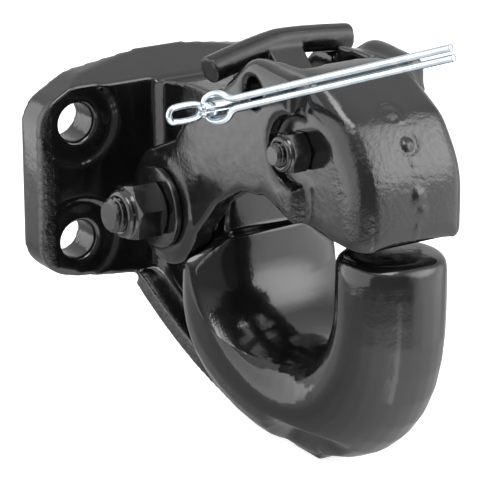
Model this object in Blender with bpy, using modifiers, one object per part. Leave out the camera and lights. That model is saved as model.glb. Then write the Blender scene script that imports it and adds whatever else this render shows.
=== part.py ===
"""A rigid-mount pintle hook: a cast hook body, a hinged latch, a T-handled lock lever and their fasteners.

Metres, +Z up. The origin is the centre of the four mounting holes on the rear face of the plate.
The hook reaches forward along -Y, and X runs across it. Outlines are written as (forward, up)
pairs, where forward is the distance ahead of the mounting face.
"""
import math

import bmesh
import bpy
from mathutils import Matrix, Vector

# Clearances
SEAT_GAP = 0.0003
RUN_GAP = 0.0004
EAR_RELIEF = 0.0007

# Mounting plate
HOLE_SPACING_ACROSS = 0.085725
HOLE_SPACING_UP = 0.04445
HOLE_RADIUS = 0.00715
HOLE_CHAMFER = 0.0010
SPOT_FACE_RADIUS = 0.0160
SPOT_FACE_DEPTH = 0.0012
PLATE_THICKNESS = 0.016
PLATE_SIDE_MARGIN = 0.01514
PLATE_TOP_MARGIN = 0.0062
PLATE_BOTTOM_MARGIN = 0.0123
PLATE_CROWN = 0.0142
PLATE_SHOULDER_DROP = 0.0042
PLATE_SHOULDER_INSET = 0.0180
PLATE_TOP_SLOPE = 0.0076
PLATE_SAG = 0.0047
PLATE_FLAT_HALF = 0.009
PLATE_CROWN_RADIUS = 0.012
PLATE_CORNER_RADIUS = 0.0135
PLATE_EDGE_RADIUS = 0.0016
PLATE_HALF_WIDTH = HOLE_SPACING_ACROSS / 2.0 + PLATE_SIDE_MARGIN
PLATE_TOP_END = HOLE_SPACING_UP / 2.0 + PLATE_TOP_MARGIN
PLATE_TOP_MIDDLE = PLATE_TOP_END + PLATE_CROWN
PLATE_TOP_FRONT = PLATE_TOP_MIDDLE - PLATE_TOP_SLOPE
PLATE_BOTTOM_END = -HOLE_SPACING_UP / 2.0 - PLATE_BOTTOM_MARGIN
PLATE_BOTTOM_MIDDLE = PLATE_BOTTOM_END - PLATE_SAG

# Main pivot: a half-inch bolt
PIVOT_FORWARD = 0.0490
PIVOT_UP = -0.0024
PIVOT_BOLT_RADIUS = 0.00635
PIVOT_NUT_FLATS = 0.01905
PIVOT_NUT_HEIGHT = 0.0118
PIVOT_COLLAR_RADIUS = 0.0086
PIVOT_COLLAR_HEIGHT = 0.0033
PIVOT_HEAD_HEIGHT = 0.0080
PIVOT_THREAD_END = 0.0038
PIVOT_WASHER_RADIUS = 0.0146
PIVOT_WASHER_THICKNESS = 0.0026

# Lock pivot: a five-sixteenths bolt
LOCK_FORWARD = 0.1275
LOCK_UP = 0.0367
LOCK_BOLT_RADIUS = 0.00397
LOCK_NUT_FLATS = 0.0127
LOCK_NUT_HEIGHT = 0.0067
LOCK_COLLAR_RADIUS = 0.0060
LOCK_COLLAR_HEIGHT = 0.0021
LOCK_HEAD_HEIGHT = 0.0053
LOCK_THREAD_END = 0.0026

# Hook: a bar bent to a U that starts round at the tip and spreads to a wide saddle at the back
THROAT_FORWARD = 0.1025
THROAT_UP = -0.0155
THROAT_RADIUS = 0.0275
BAR_DEPTH = 0.0368
TIP_UP = 0.0030
TIP_HALF_WIDTH = 0.0190
TIP_ROUNDING = 0.0030
BOTTOM_HALF_WIDTH = 0.0205
HEEL_SWELL = 0.0040
SADDLE_HALF_WIDTH = 0.0305
SADDLE_LIP = 0.0022
SADDLE_BACK_DEPTH = 0.0170
SADDLE_TOP_UP = -0.0090
SADDLE_SQUARENESS = 2.9
WING_SLOPE_START = 0.0160
WING_END_UP = -0.0190
BAR_SIDES = 28
BAR_STEPS = 20

# Lug between the latch arms, the web behind it and the rib below
LUG_HALF_WIDTH = 0.0155
LUG_FRONT = 0.0715
LUG_TOP = 0.0404
LUG_BACK = 0.0440
RAMP_LOW_UP = 0.0320
RAMP_ANGLE = math.radians(40.0)
BARREL_RADIUS = 0.0175
BARREL_HALF_WIDTH = 0.0190
LUG_CORNER_RADIUS = 0.0040
LUG_FOOT_RADIUS = 0.0060
LUG_EDGE_RADIUS = 0.0015
WEB_HALF_THICKNESS = 0.0090
WEB_ROOT_SWELL = 0.0029
WEB_ROOT_REACH = 0.0052
RIB_HALF_WIDTH = 0.0190
RIB_THICKNESS = 0.0070
RIB_START_UP = -0.0437
RIB_EDGE_RADIUS = 0.0025
RIB_PULL = (0.0600, -0.0700)
RIB_END = (0.1040, -0.0722)
PAD_BACK = 0.0945
PAD_FRONT = 0.1190
PAD_BOTTOM = -0.0808
PAD_HALF_WIDTH = 0.0072
PAD_HEEL_RADIUS = 0.0120
PAD_TOE_RADIUS = 0.0020
PAD_EDGE_RADIUS = 0.0012

# Latch
ARM_OUTER = 0.0275
ARM_INNER = BARREL_HALF_WIDTH + RUN_GAP
EAR_RADIUS = 0.0215
EAR_BOSS_RADIUS = 0.0180
EAR_BOSS_HEIGHT = 0.0008
ARM_EDGE_RADIUS = 0.0015
ARM_TOP_RADIUS = 0.0035
CHEEK_OUTER = 0.0220
CHEEK_INNER = 0.0140
ARM_END = 0.1290
ARM_CAVITY_END = 0.0935
LATCH_TOP = 0.0620

# The arm's edges, as offsets from the main pivot, the lock pivot, the latch's top or the T-handle
NECK_AHEAD = 0.0340
NECK_RISE = 0.0092
ARCH_BEHIND = 0.0290
ARCH_DROP = 0.0207
CHIN_BEHIND = 0.0145
CHIN_DROP = 0.0192
ARCH_RADIUS = 0.0100
TOE_AHEAD = 0.0025
TOE_DROP = 0.0252
NAPE_AHEAD = 0.0070
NAPE_RISE = 0.0264
BACK_AHEAD = 0.0150
BACK_RISE = 0.0369
BACK_RADIUS = 0.0080
DIP_AHEAD = 0.0050
DIP_DROP = 0.0112
DIP_RADIUS = 0.0100
CREST_BEHIND = 0.0250
CREST_RISE = 0.0020
CREST_RADIUS = 0.0120
BROW_BEHIND = 0.0055
BROW_RISE = 0.0005
BROW_RADIUS = 0.0200

# The closed front, as heights and as distances from the lock pivot
NOSE_AHEAD = 0.0349
NOSE_BOTTOM = 0.0084
NOSE_LEAN_UP = 0.0330
NOSE_LEAN_RADIUS = 0.0300
FOREHEAD_AHEAD = 0.0230
FOREHEAD_UP = 0.0500
FOREHEAD_RADIUS = 0.0200
CROWN_RADIUS = 0.0090
CROWN_BACK_DROP = 0.0008
CHEEK_BACK_UP = 0.0150
CHEEK_STEP_BEHIND = 0.0125
CHEEK_STEP_UP = 0.0145
JAW_AHEAD = 0.0055
JAW_UP = 0.0100
JAW_RADIUS = 0.0080
CHIN_EDGE_RADIUS = 0.0020
CAVITY_WALL = 0.0182
CAVITY_TOP = 0.0510
CAVITY_RADIUS = 0.0080
SLOT_BEHIND = 0.0105
POCKET_RADIUS = 0.0123
PIN_HOLE_RADIUS = 0.0055
PIN_HOLE_FORWARD = 0.1055
PIN_HOLE_UP = 0.0515

# Lock lever and its T-handle
LEVER_HALF_WIDTH = 0.0068
LEVER_BOSS_RADIUS = 0.0090
LEVER_BOSS_HALF_WIDTH = CHEEK_INNER - RUN_GAP
LEVER_EDGE_RADIUS = 0.0008
LEVER_TOP_BEHIND = 0.0225
LEVER_TOP_RISE = 0.0058
LEVER_TOP_RADIUS = 0.0120
LEVER_FOOT_BEHIND = 0.0275
LEVER_FOOT_RADIUS = 0.0150
HEEL_THICKNESS = 0.0050
HEEL_INSET = 0.0010
HEEL_TOE = 0.0045
HEEL_RADIUS = 0.0020
STEM_HALF = 0.0045
STEM_FOOT_AHEAD = 0.0135
STEM_FOOT_BEHIND = 0.0100
STEM_FOOT_DROP = 0.0082
STEM_HEEL_DROP = 0.0102
STEM_RADIUS = 0.0080
HANDLE_BEHIND = 0.0475
HANDLE_RISE = 0.0235
HANDLE_FORWARD = LOCK_FORWARD - HANDLE_BEHIND
HANDLE_UP = LOCK_UP + HANDLE_RISE
HANDLE_HALF_LENGTH = 0.0288
HANDLE_TILT = 0.0020
HANDLE_DROOP = 0.0036
HANDLE_SWEEP = 0.0015
HANDLE_RADIUS = 0.0049

# Split pins
WIRE_RADIUS = 0.0012
LEG_SPREAD = 0.0028
ANCHOR_EYE_WIDTH = 0.0054
ANCHOR_EYE_LENGTH = 0.0135
ANCHOR_EYE_END = 0.0575
ANCHOR_TIP = 0.0215
LONG_EYE_WIDTH = 0.0080
LONG_EYE_LENGTH = 0.0225
LONG_LEG_LENGTH = 0.0795
LONG_LEG_SPREAD = 0.0032
LONG_PIN_ACROSS = 0.0435
LONG_PIN_YAW = math.radians(22.0)
LONG_PIN_PITCH = math.radians(19.6)

OVERLAP = 0.002
ROUND_SIDES = 48
SMALL_SIDES = 32


def clear_scene():
    for old in list(bpy.data.objects):
        bpy.data.objects.remove(old, do_unlink=True)


def make_collection(name):
    made = bpy.data.collections.new(name)
    bpy.context.scene.collection.children.link(made)
    return made


clear_scene()
PARTS = make_collection("pintle_hook")
CUTTERS = make_collection("cutters")


def make_material(name, colour, roughness, metallic):
    made = bpy.data.materials.new(name)
    made.use_nodes = True
    shader = made.node_tree.nodes["Principled BSDF"]
    shader.inputs["Base Color"].default_value = (*colour, 1.0)
    shader.inputs["Roughness"].default_value = roughness
    shader.inputs["Metallic"].default_value = metallic
    return made


GLOSS_BLACK = make_material("gloss_black_paint", (0.012, 0.012, 0.013), 0.12, 0.0)
LATCH_BLACK = make_material("latch_black_paint", (0.016, 0.016, 0.017), 0.16, 0.0)
LEVER_BLACK = make_material("lever_black_paint", (0.020, 0.020, 0.021), 0.25, 0.0)
BOLT_BLACK = make_material("black_fastener", (0.015, 0.015, 0.016), 0.22, 0.3)
WASHER_BLACK = make_material("black_washer", (0.02, 0.02, 0.02), 0.2, 0.3)
NYLON = make_material("nut_nylon_ring", (0.03, 0.03, 0.032), 0.35, 0.0)
ZINC = make_material("zinc_plated_wire", (0.72, 0.76, 0.80), 0.22, 1.0)


def at(forward, up, across=0.0):
    """A point from its distance ahead of the mounting face, its height and its place across."""
    return Vector((across, -forward, up))


def add_object(name, mesh, home=CUTTERS):
    made = bpy.data.objects.new(name, mesh)
    home.objects.link(made)
    if home is CUTTERS:
        made.hide_render = True
        made.display_type = "WIRE"
    return made


def weld(mesh, reach=0.00001):
    work = bmesh.new()
    work.from_mesh(mesh)
    bmesh.ops.remove_doubles(work, verts=work.verts, dist=reach)
    bmesh.ops.recalc_face_normals(work, faces=work.faces)
    work.to_mesh(mesh)
    work.free()


def curve_to_mesh(curve_object):
    """Turn a curve object into a welded mesh object in world space."""
    bpy.context.view_layer.update()
    source = curve_object.evaluated_get(bpy.context.evaluated_depsgraph_get())
    mesh = bpy.data.meshes.new_from_object(source)
    mesh.transform(curve_object.matrix_world)
    name = curve_object.name
    bpy.data.objects.remove(curve_object, do_unlink=True)
    weld(mesh)
    return add_object(name, mesh)


def rounded(corners, step=math.radians(12.0)):
    """An outline from (x, y, radius) corners, each rounded by an arc of its own radius."""
    points = []
    count = len(corners)
    for index, (x, y, radius) in enumerate(corners):
        here = Vector((x, y))
        if radius <= 0.0:
            points.append(here)
            continue
        back = (Vector(corners[index - 1][:2]) - here).normalized()
        ahead = (Vector(corners[(index + 1) % count][:2]) - here).normalized()
        half = back.angle(ahead) / 2.0
        reach = radius / math.tan(half)
        centre = here + (back + ahead).normalized() * (radius / math.sin(half))
        start = here + back * reach - centre
        turn = math.pi - 2.0 * half
        side = 1.0 if back.cross(ahead) < 0.0 else -1.0
        pieces = max(2, math.ceil(turn / step))
        for piece in range(pieces + 1):
            spin = Matrix.Rotation(side * turn * piece / pieces, 2)
            points.append(centre + spin @ start)
    return points


def flat_solid(name, outline, half_depth, frame):
    """A flat outline extruded both ways; frame maps its plane (x, y, depth) into the world."""
    data = bpy.data.curves.new(name, "CURVE")
    data.dimensions = "2D"
    data.fill_mode = "BOTH"
    data.extrude = half_depth
    data.render_resolution_u = 0
    spline = data.splines.new("POLY")
    spline.points.add(len(outline) - 1)
    for point, corner in zip(spline.points, outline):
        point.co = (corner[0], corner[1], 0.0, 1.0)
    spline.use_cyclic_u = True
    made = add_object(name, data)
    made.matrix_world = frame
    return curve_to_mesh(made)


SIDE_FRAME = Matrix(((0, 0, -1, 0), (-1, 0, 0, 0), (0, 1, 0, 0), (0, 0, 0, 1)))
FACE_FRAME = Matrix(((1, 0, 0, 0), (0, 0, -1, 0), (0, 1, 0, 0), (0, 0, 0, 1)))
PLAN_FRAME = Matrix(((1, 0, 0, 0), (0, -1, 0, 0), (0, 0, -1, 0), (0, 0, 0, 1)))


def side_solid(name, outline, low, high):
    """A (forward, up) outline that spans low to high across."""
    shift = Matrix.Translation(((low + high) / 2.0, 0.0, 0.0))
    return flat_solid(name, outline, (high - low) / 2.0, shift @ SIDE_FRAME)


def face_solid(name, outline, back, front):
    """An (across, up) outline that spans back to front, both ahead of the mounting face."""
    shift = Matrix.Translation((0.0, -(back + front) / 2.0, 0.0))
    return flat_solid(name, outline, (front - back) / 2.0, shift @ FACE_FRAME)


def plan_solid(name, outline, low, high):
    """An (across, forward) outline that spans the heights low to high."""
    shift = Matrix.Translation((0.0, 0.0, (low + high) / 2.0))
    return flat_solid(name, outline, (high - low) / 2.0, shift @ PLAN_FRAME)


def turned(name, profile, frame, sides=ROUND_SIDES):
    """A closed (radius, along) profile turned about its axis, which frame maps into the world."""
    mesh = bpy.data.meshes.new(name)
    count = len(profile)
    mesh.from_pydata([(radius, 0.0, along) for radius, along in profile],
                     [(index, index + 1) for index in range(count - 1)], [])
    made = add_object(name, mesh)
    screw = made.modifiers.new("turn", "SCREW")
    screw.steps = sides
    screw.render_steps = sides
    screw.use_merge_vertices = True
    screw.merge_threshold = 0.00001
    made.matrix_world = frame
    return curve_to_mesh(made)


def across_frame(forward, up, across=0.0):
    """The frame of a turned shape whose axis runs along +X from the given place."""
    return Matrix.Translation(at(forward, up, across)) @ Matrix.Rotation(math.radians(90.0), 4, "Y")


def drum(name, radius, low, high, forward, up, sides=ROUND_SIDES):
    """A plain cylinder across the part, from low to high."""
    profile = [(0.0, high), (radius, high), (radius, low), (0.0, low)]
    return turned(name, profile, across_frame(forward, up), sides)


def combine(target, other, operation):
    """Apply one Boolean to target and remove the other object."""
    modifier = target.modifiers.new(operation.lower(), "BOOLEAN")
    modifier.operation = operation
    modifier.solver = "EXACT"
    modifier.object = other
    bpy.context.view_layer.update()
    source = target.evaluated_get(bpy.context.evaluated_depsgraph_get())
    mesh = bpy.data.meshes.new_from_object(source)
    target.modifiers.clear()
    old = target.data
    target.data = mesh
    bpy.data.meshes.remove(old)
    weld(mesh, 0.000001)
    bpy.data.objects.remove(other, do_unlink=True)
    return target


def bevel(target, width, segments, angle=math.radians(40.0)):
    modifier = target.modifiers.new("round", "BEVEL")
    modifier.width = width
    modifier.segments = segments
    modifier.limit_method = "ANGLE"
    modifier.angle_limit = angle
    bpy.context.view_layer.update()
    source = target.evaluated_get(bpy.context.evaluated_depsgraph_get())
    mesh = bpy.data.meshes.new_from_object(source)
    target.modifiers.clear()
    target.data = mesh
    weld(mesh)
    return target


def publish(target, name, material, origin=None):
    """Put a finished solid in the part's collection, with its origin on its own axis."""
    for home in list(target.users_collection):
        home.objects.unlink(target)
    PARTS.objects.link(target)
    target.name = name
    target.data.name = name
    target.hide_render = False
    target.display_type = "TEXTURED"
    target.data.materials.clear()
    target.data.materials.append(material)
    weld(target.data)
    if origin is not None:
        target.data.transform(Matrix.Translation(-origin))
        target.location = origin
    target.data.shade_smooth()
    target.data.set_sharp_from_angle(angle=math.radians(35.0))
    return target


def ease(value):
    """A smooth step from 0 to 1."""
    value = min(1.0, max(0.0, value))
    return value * value * (3.0 - 2.0 * value)


def hook_stations():
    """The U's sections: middle point, way out of the throat, inner and outer depth, width and squareness."""
    stations = []
    tip_rim = BAR_DEPTH / 2.0
    tip_heights = [TIP_UP, TIP_UP - TIP_ROUNDING * 0.3, TIP_UP - TIP_ROUNDING, THROAT_UP / 2.0]
    for height in tip_heights:
        drop = (TIP_UP - height) / TIP_ROUNDING
        shrink = TIP_ROUNDING * (1.0 - math.sqrt(max(0.0, 1.0 - (1.0 - min(1.0, drop)) ** 2)))
        middle = (THROAT_FORWARD + THROAT_RADIUS + tip_rim, height)
        stations.append((middle, (1.0, 0.0), tip_rim - shrink, tip_rim - shrink, TIP_HALF_WIDTH - shrink, 2.0))
    for step in range(BAR_STEPS + 1):
        turn = math.pi * step / BAR_STEPS
        spread = ease((turn - math.radians(50.0)) / math.radians(120.0))
        settle = ease(turn / math.radians(80.0))
        lip = tip_rim + (SADDLE_LIP - tip_rim) * spread
        swell = ease(turn / math.radians(38.0)) * (1.0 - ease((turn - math.radians(45.0)) / math.radians(50.0)))
        outer = BAR_DEPTH - lip + HEEL_SWELL * swell
        outer += (SADDLE_BACK_DEPTH - outer) * ease((turn - math.radians(130.0)) / math.radians(50.0))
        narrow = TIP_HALF_WIDTH + (BOTTOM_HALF_WIDTH - TIP_HALF_WIDTH) * settle
        width = narrow + (SADDLE_HALF_WIDTH - narrow) * spread
        out = (math.cos(turn), -math.sin(turn))
        reach = THROAT_RADIUS + lip
        middle = (THROAT_FORWARD + out[0] * reach, THROAT_UP + out[1] * reach)
        squareness = 2.0 + (SADDLE_SQUARENESS - 2.0) * spread
        stations.append((middle, out, lip, outer, width, squareness))
    middle, *rest = stations[-1]
    stations.append(((middle[0], SADDLE_TOP_UP), *rest))
    return stations


def squared(value, squareness):
    """A sine or cosine bent towards a square: its size to the power of two over the squareness."""
    return math.copysign(abs(value) ** (2.0 / squareness), value)


def hook_bar():
    """The U, lofted through sections that are two half superellipses on one width."""
    work = bmesh.new()
    rings = []
    for middle, out, inner, outer, width, squareness in hook_stations():
        ring = []
        for side in range(BAR_SIDES):
            turn = 2.0 * math.pi * side / BAR_SIDES
            depth = squared(math.sin(turn), squareness) * (outer if math.sin(turn) > 0.0 else inner)
            ring.append(work.verts.new(at(middle[0] + out[0] * depth, middle[1] + out[1] * depth,
                                          width * squared(math.cos(turn), squareness))))
        rings.append(ring)
    for first, second in zip(rings, rings[1:]):
        for side in range(BAR_SIDES):
            after = (side + 1) % BAR_SIDES
            work.faces.new((first[side], first[after], second[after], second[side]))
    work.faces.new(rings[0])
    work.faces.new(rings[-1])
    bmesh.ops.recalc_face_normals(work, faces=work.faces)
    mesh = bpy.data.meshes.new("hook_bar")
    work.to_mesh(mesh)
    work.free()
    return add_object("hook_bar", mesh)


def mirrored(half):
    """A closed outline from its +X half, whose corners run from the top down."""
    return rounded(half + [(-x, y, radius) for x, y, radius in reversed(half)])


def plate():
    """The mounting plate: a wide hexagon with a top that slopes down to its front edge."""
    half = [(PLATE_FLAT_HALF, PLATE_TOP_MIDDLE, PLATE_CROWN_RADIUS),
            (PLATE_HALF_WIDTH - PLATE_SHOULDER_INSET, PLATE_TOP_MIDDLE - PLATE_SHOULDER_DROP,
             PLATE_CORNER_RADIUS),
            (PLATE_HALF_WIDTH, PLATE_TOP_END, PLATE_CORNER_RADIUS),
            (PLATE_HALF_WIDTH, PLATE_BOTTOM_END, PLATE_CORNER_RADIUS),
            (PLATE_FLAT_HALF * 2.0, PLATE_BOTTOM_MIDDLE, PLATE_CROWN_RADIUS)]
    made = face_solid("plate", mirrored(half), 0.0, PLATE_THICKNESS)
    margin = OVERLAP * 2.0
    fall = (PLATE_TOP_MIDDLE - PLATE_TOP_FRONT) / PLATE_THICKNESS
    slope = [(-margin, PLATE_TOP_MIDDLE + fall * margin), (-margin, LATCH_TOP),
             (PLATE_THICKNESS + margin, LATCH_TOP), (PLATE_THICKNESS + margin, PLATE_TOP_FRONT - fall * margin)]
    combine(made, side_solid("top_slope", slope, -PLATE_HALF_WIDTH - margin, PLATE_HALF_WIDTH + margin),
            "DIFFERENCE")
    return bevel(made, PLATE_EDGE_RADIUS, 2, math.radians(50.0))


def mounting_hole(across, up):
    """One bolt hole with its chamfer and its spot face, as a cutter that points forward."""
    floor = PLATE_THICKNESS - SPOT_FACE_DEPTH
    profile = [(0.0, PLATE_THICKNESS + OVERLAP * 2), (SPOT_FACE_RADIUS, PLATE_THICKNESS + OVERLAP * 2),
               (SPOT_FACE_RADIUS, floor), (HOLE_RADIUS + HOLE_CHAMFER, floor),
               (HOLE_RADIUS, floor - HOLE_CHAMFER), (HOLE_RADIUS, -OVERLAP), (0.0, -OVERLAP)]
    frame = Matrix.Translation((across, 0.0, up)) @ Matrix.Rotation(math.radians(90.0), 4, "X")
    return turned("hole", profile, frame, SMALL_SIDES)


def rib_curve(offset):
    """The underside of the casting, from the plate to the bottom of the U, moved inwards by offset."""
    start = Vector((PLATE_THICKNESS - OVERLAP, RIB_START_UP))
    pull = Vector(RIB_PULL)
    end = Vector(RIB_END)
    points = []
    steps = 12
    for step in range(steps + 1):
        part = step / steps
        place = start * (1 - part) ** 2 + pull * (2 * part * (1 - part)) + end * part ** 2
        along = ((pull - start) * (1 - part) + (end - pull) * part).normalized()
        points.append(place + Vector((-along.y, along.x)) * offset)
    return points


def lug_outline():
    """The lug that the arms straddle, with the ramp that the lever's heel locks against."""
    rise = LUG_TOP - RAMP_LOW_UP
    ramp_back = LUG_FRONT - rise / math.tan(RAMP_ANGLE)
    back_foot = PIVOT_FORWARD - BARREL_RADIUS * 0.75
    foot_up = PIVOT_UP - BARREL_RADIUS * 0.55
    return rounded([(LUG_FRONT, foot_up, 0.0), (LUG_FRONT, RAMP_LOW_UP, 0.0),
                    (ramp_back, LUG_TOP, 0.0), (LUG_BACK, LUG_TOP, LUG_CORNER_RADIUS),
                    (back_foot, LUG_TOP * 0.6, LUG_FOOT_RADIUS), (back_foot, foot_up, 0.0)])


def web_outline():
    """The thin upright web between the plate, the lug and the U."""
    lower = rib_curve(RIB_THICKNESS / 2.0)
    behind = PLATE_THICKNESS - OVERLAP
    upper = [Vector((THROAT_FORWARD - THROAT_RADIUS * 0.4, THROAT_UP - THROAT_RADIUS - BAR_DEPTH / 2.0)),
             Vector((THROAT_FORWARD - THROAT_RADIUS - BAR_DEPTH / 3.0, THROAT_UP)),
             Vector((LUG_BACK + OVERLAP, LUG_TOP - LUG_EDGE_RADIUS * 2.0)),
             Vector((behind, PLATE_TOP_FRONT - PLATE_EDGE_RADIUS))]
    kept = [point for point in lower if point.x < THROAT_FORWARD - THROAT_RADIUS * 0.5]
    return kept + upper


def web():
    """The web, which swells by a chamfer on each side where it meets the plate."""
    buried = WEB_ROOT_SWELL * (WEB_ROOT_REACH + OVERLAP * 2.0) / WEB_ROOT_REACH
    root = WEB_HALF_THICKNESS + buried
    made = side_solid("web", web_outline(), -root - OVERLAP, root + OVERLAP)
    plan = [(root, PLATE_THICKNESS - OVERLAP * 2.0, 0.0),
            (WEB_HALF_THICKNESS, PLATE_THICKNESS + WEB_ROOT_REACH, 0.0),
            (WEB_HALF_THICKNESS, THROAT_FORWARD, 0.0)]
    deep = PAD_BOTTOM - OVERLAP
    return combine(made, plan_solid("web_plan", mirrored(plan), deep, LUG_TOP + OVERLAP), "INTERSECT")


def hook_body():
    body = plate()
    combine(body, web(), "UNION")
    lug = side_solid("lug", lug_outline(), -LUG_HALF_WIDTH, LUG_HALF_WIDTH)
    combine(body, bevel(lug, LUG_EDGE_RADIUS, 2), "UNION")
    rib = side_solid("rib", rib_curve(0.0) + list(reversed(rib_curve(RIB_THICKNESS))),
                     -RIB_HALF_WIDTH, RIB_HALF_WIDTH)
    combine(body, bevel(rib, RIB_EDGE_RADIUS, 2), "UNION")
    pad_top = PAD_BOTTOM + BAR_DEPTH / 3.0
    pad = rounded([(PAD_BACK, pad_top, 0.0), (PAD_FRONT, pad_top, 0.0),
                   (PAD_FRONT, PAD_BOTTOM, PAD_TOE_RADIUS), (PAD_BACK, PAD_BOTTOM, PAD_HEEL_RADIUS)])
    pad = side_solid("pad", pad, -PAD_HALF_WIDTH, PAD_HALF_WIDTH)
    combine(body, bevel(pad, PAD_EDGE_RADIUS, 2), "UNION")
    barrel_reach = BARREL_HALF_WIDTH + OVERLAP
    combine(body, drum("barrel", BARREL_RADIUS, -barrel_reach, barrel_reach, PIVOT_FORWARD, PIVOT_UP),
            "UNION")
    bar = hook_bar()
    slope_end = SADDLE_HALF_WIDTH + OVERLAP * 2.0
    clear_up = SADDLE_TOP_UP + BARREL_RADIUS
    fall = (SADDLE_TOP_UP - WING_END_UP) / (SADDLE_HALF_WIDTH - WING_SLOPE_START)
    for side in (-1.0, 1.0):
        wedge = [(side * WING_SLOPE_START, SADDLE_TOP_UP), (side * WING_SLOPE_START, clear_up),
                 (side * slope_end, clear_up),
                 (side * slope_end, SADDLE_TOP_UP - fall * (slope_end - WING_SLOPE_START))]
        combine(bar, face_solid("wing_top", wedge, LUG_BACK, THROAT_FORWARD), "DIFFERENCE")
    combine(body, bar, "UNION")
    for side in (-1.0, 1.0):
        low, high = sorted((side * BARREL_HALF_WIDTH, side * (SADDLE_HALF_WIDTH + OVERLAP)))
        combine(body, drum("ear_room", EAR_RADIUS + EAR_RELIEF, low, high, PIVOT_FORWARD, PIVOT_UP),
                "DIFFERENCE")
    combine(body, drum("pivot_bore", PIVOT_BOLT_RADIUS + SEAT_GAP, -BARREL_HALF_WIDTH - OVERLAP,
                       BARREL_HALF_WIDTH + OVERLAP, PIVOT_FORWARD, PIVOT_UP, SMALL_SIDES), "DIFFERENCE")
    for across in (-HOLE_SPACING_ACROSS / 2.0, HOLE_SPACING_ACROSS / 2.0):
        for up in (-HOLE_SPACING_UP / 2.0, HOLE_SPACING_UP / 2.0):
            combine(body, mounting_hole(across, up), "DIFFERENCE")
    return publish(body, "hook_body", GLOSS_BLACK)


def circle_points(forward, up, radius, start, end, count):
    """Points on an arc in the side view, from start to end degrees."""
    turns = [math.radians(start + (end - start) * step / count) for step in range(count + 1)]
    return [Vector((forward + radius * math.cos(turn), up + radius * math.sin(turn))) for turn in turns]


def arm_outline():
    """One arm from its ear to the scallop round the lock nut."""
    ear = circle_points(PIVOT_FORWARD, PIVOT_UP, EAR_RADIUS, 120.0, 345.0, 20)
    lower = rounded([(PIVOT_FORWARD + NECK_AHEAD, PIVOT_UP + NECK_RISE, 0.0),
                     (LOCK_FORWARD - ARCH_BEHIND, LOCK_UP - ARCH_DROP, ARCH_RADIUS),
                     (LOCK_FORWARD - CHIN_BEHIND, LOCK_UP - CHIN_DROP, ARCH_RADIUS),
                     (LOCK_FORWARD + TOE_AHEAD, LOCK_UP - TOE_DROP, 0.0)])
    upper = rounded([(ARM_END, LATCH_TOP, 0.0),
                     (LOCK_FORWARD - BROW_BEHIND, LATCH_TOP + BROW_RISE, BROW_RADIUS),
                     (LOCK_FORWARD - CREST_BEHIND, LATCH_TOP + CREST_RISE, CREST_RADIUS),
                     (HANDLE_FORWARD + DIP_AHEAD, HANDLE_UP - DIP_DROP, DIP_RADIUS),
                     (PIVOT_FORWARD + BACK_AHEAD, PIVOT_UP + BACK_RISE, BACK_RADIUS),
                     (PIVOT_FORWARD + NAPE_AHEAD, PIVOT_UP + NAPE_RISE, 0.0)])
    return ear + lower + upper


def front_outline():
    """The closed front's blank: an upright nose that leans back into the rounded top."""
    back = ARM_CAVITY_END
    nose = LOCK_FORWARD + NOSE_AHEAD
    below = NOSE_BOTTOM - CROWN_RADIUS
    return rounded([(back, below, 0.0), (nose, below, 0.0), (nose, NOSE_LEAN_UP, NOSE_LEAN_RADIUS),
                    (LOCK_FORWARD + FOREHEAD_AHEAD, FOREHEAD_UP, FOREHEAD_RADIUS),
                    (ARM_END, LATCH_TOP, FOREHEAD_RADIUS), (back, LATCH_TOP - CROWN_BACK_DROP, 0.0)],
                   math.radians(9.0))


def jaw_outline():
    """What is trimmed off under the front, along the edge that closes over the horn."""
    back = ARM_CAVITY_END - OVERLAP
    nose = LOCK_FORWARD + NOSE_AHEAD + OVERLAP
    below = NOSE_BOTTOM - CROWN_RADIUS - OVERLAP
    return rounded([(back, below, 0.0), (nose, below, 0.0), (nose, NOSE_BOTTOM, 0.0),
                    (LOCK_FORWARD + JAW_AHEAD, JAW_UP, JAW_RADIUS),
                    (LOCK_FORWARD - CHEEK_STEP_BEHIND, CHEEK_STEP_UP, ARCH_RADIUS), (back, CHEEK_BACK_UP, 0.0)])


def round_rims(target, radius, segments, behind, ahead, above):
    """Round both side rims of an outline solid, between two distances forward and over a height."""
    work = bmesh.new()
    work.from_mesh(target.data)
    bmesh.ops.dissolve_limit(work, angle_limit=math.radians(0.5), verts=work.verts, edges=work.edges)
    rims = []
    for edge in work.edges:
        first, second = edge.verts
        middle = (first.co + second.co) / 2.0
        level = abs(first.co.x - second.co.x) < OVERLAP
        if level and behind < -middle.y < ahead and middle.z > above:
            rims.append(edge)
    bmesh.ops.bevel(work, geom=rims, offset=radius, offset_type="OFFSET", segments=segments, profile=0.5,
                    affect="EDGES", clamp_overlap=False)
    bmesh.ops.recalc_face_normals(work, faces=work.faces)
    work.to_mesh(target.data)
    work.free()
    return target


def closed_front():
    """The nose and the cheeks, solid: a blank with rounded rims, trimmed along its underside."""
    front = side_solid("front", front_outline(), -CHEEK_OUTER, CHEEK_OUTER)
    reach = CHEEK_OUTER + OVERLAP
    round_rims(front, CROWN_RADIUS, 5, ARM_CAVITY_END + SEAT_GAP, LOCK_FORWARD + reach * 2.0,
               NOSE_BOTTOM - CROWN_RADIUS + SEAT_GAP)
    combine(front, side_solid("jaw", jaw_outline(), -reach, reach), "DIFFERENCE")
    return bevel(front, CHIN_EDGE_RADIUS, 2)


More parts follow.
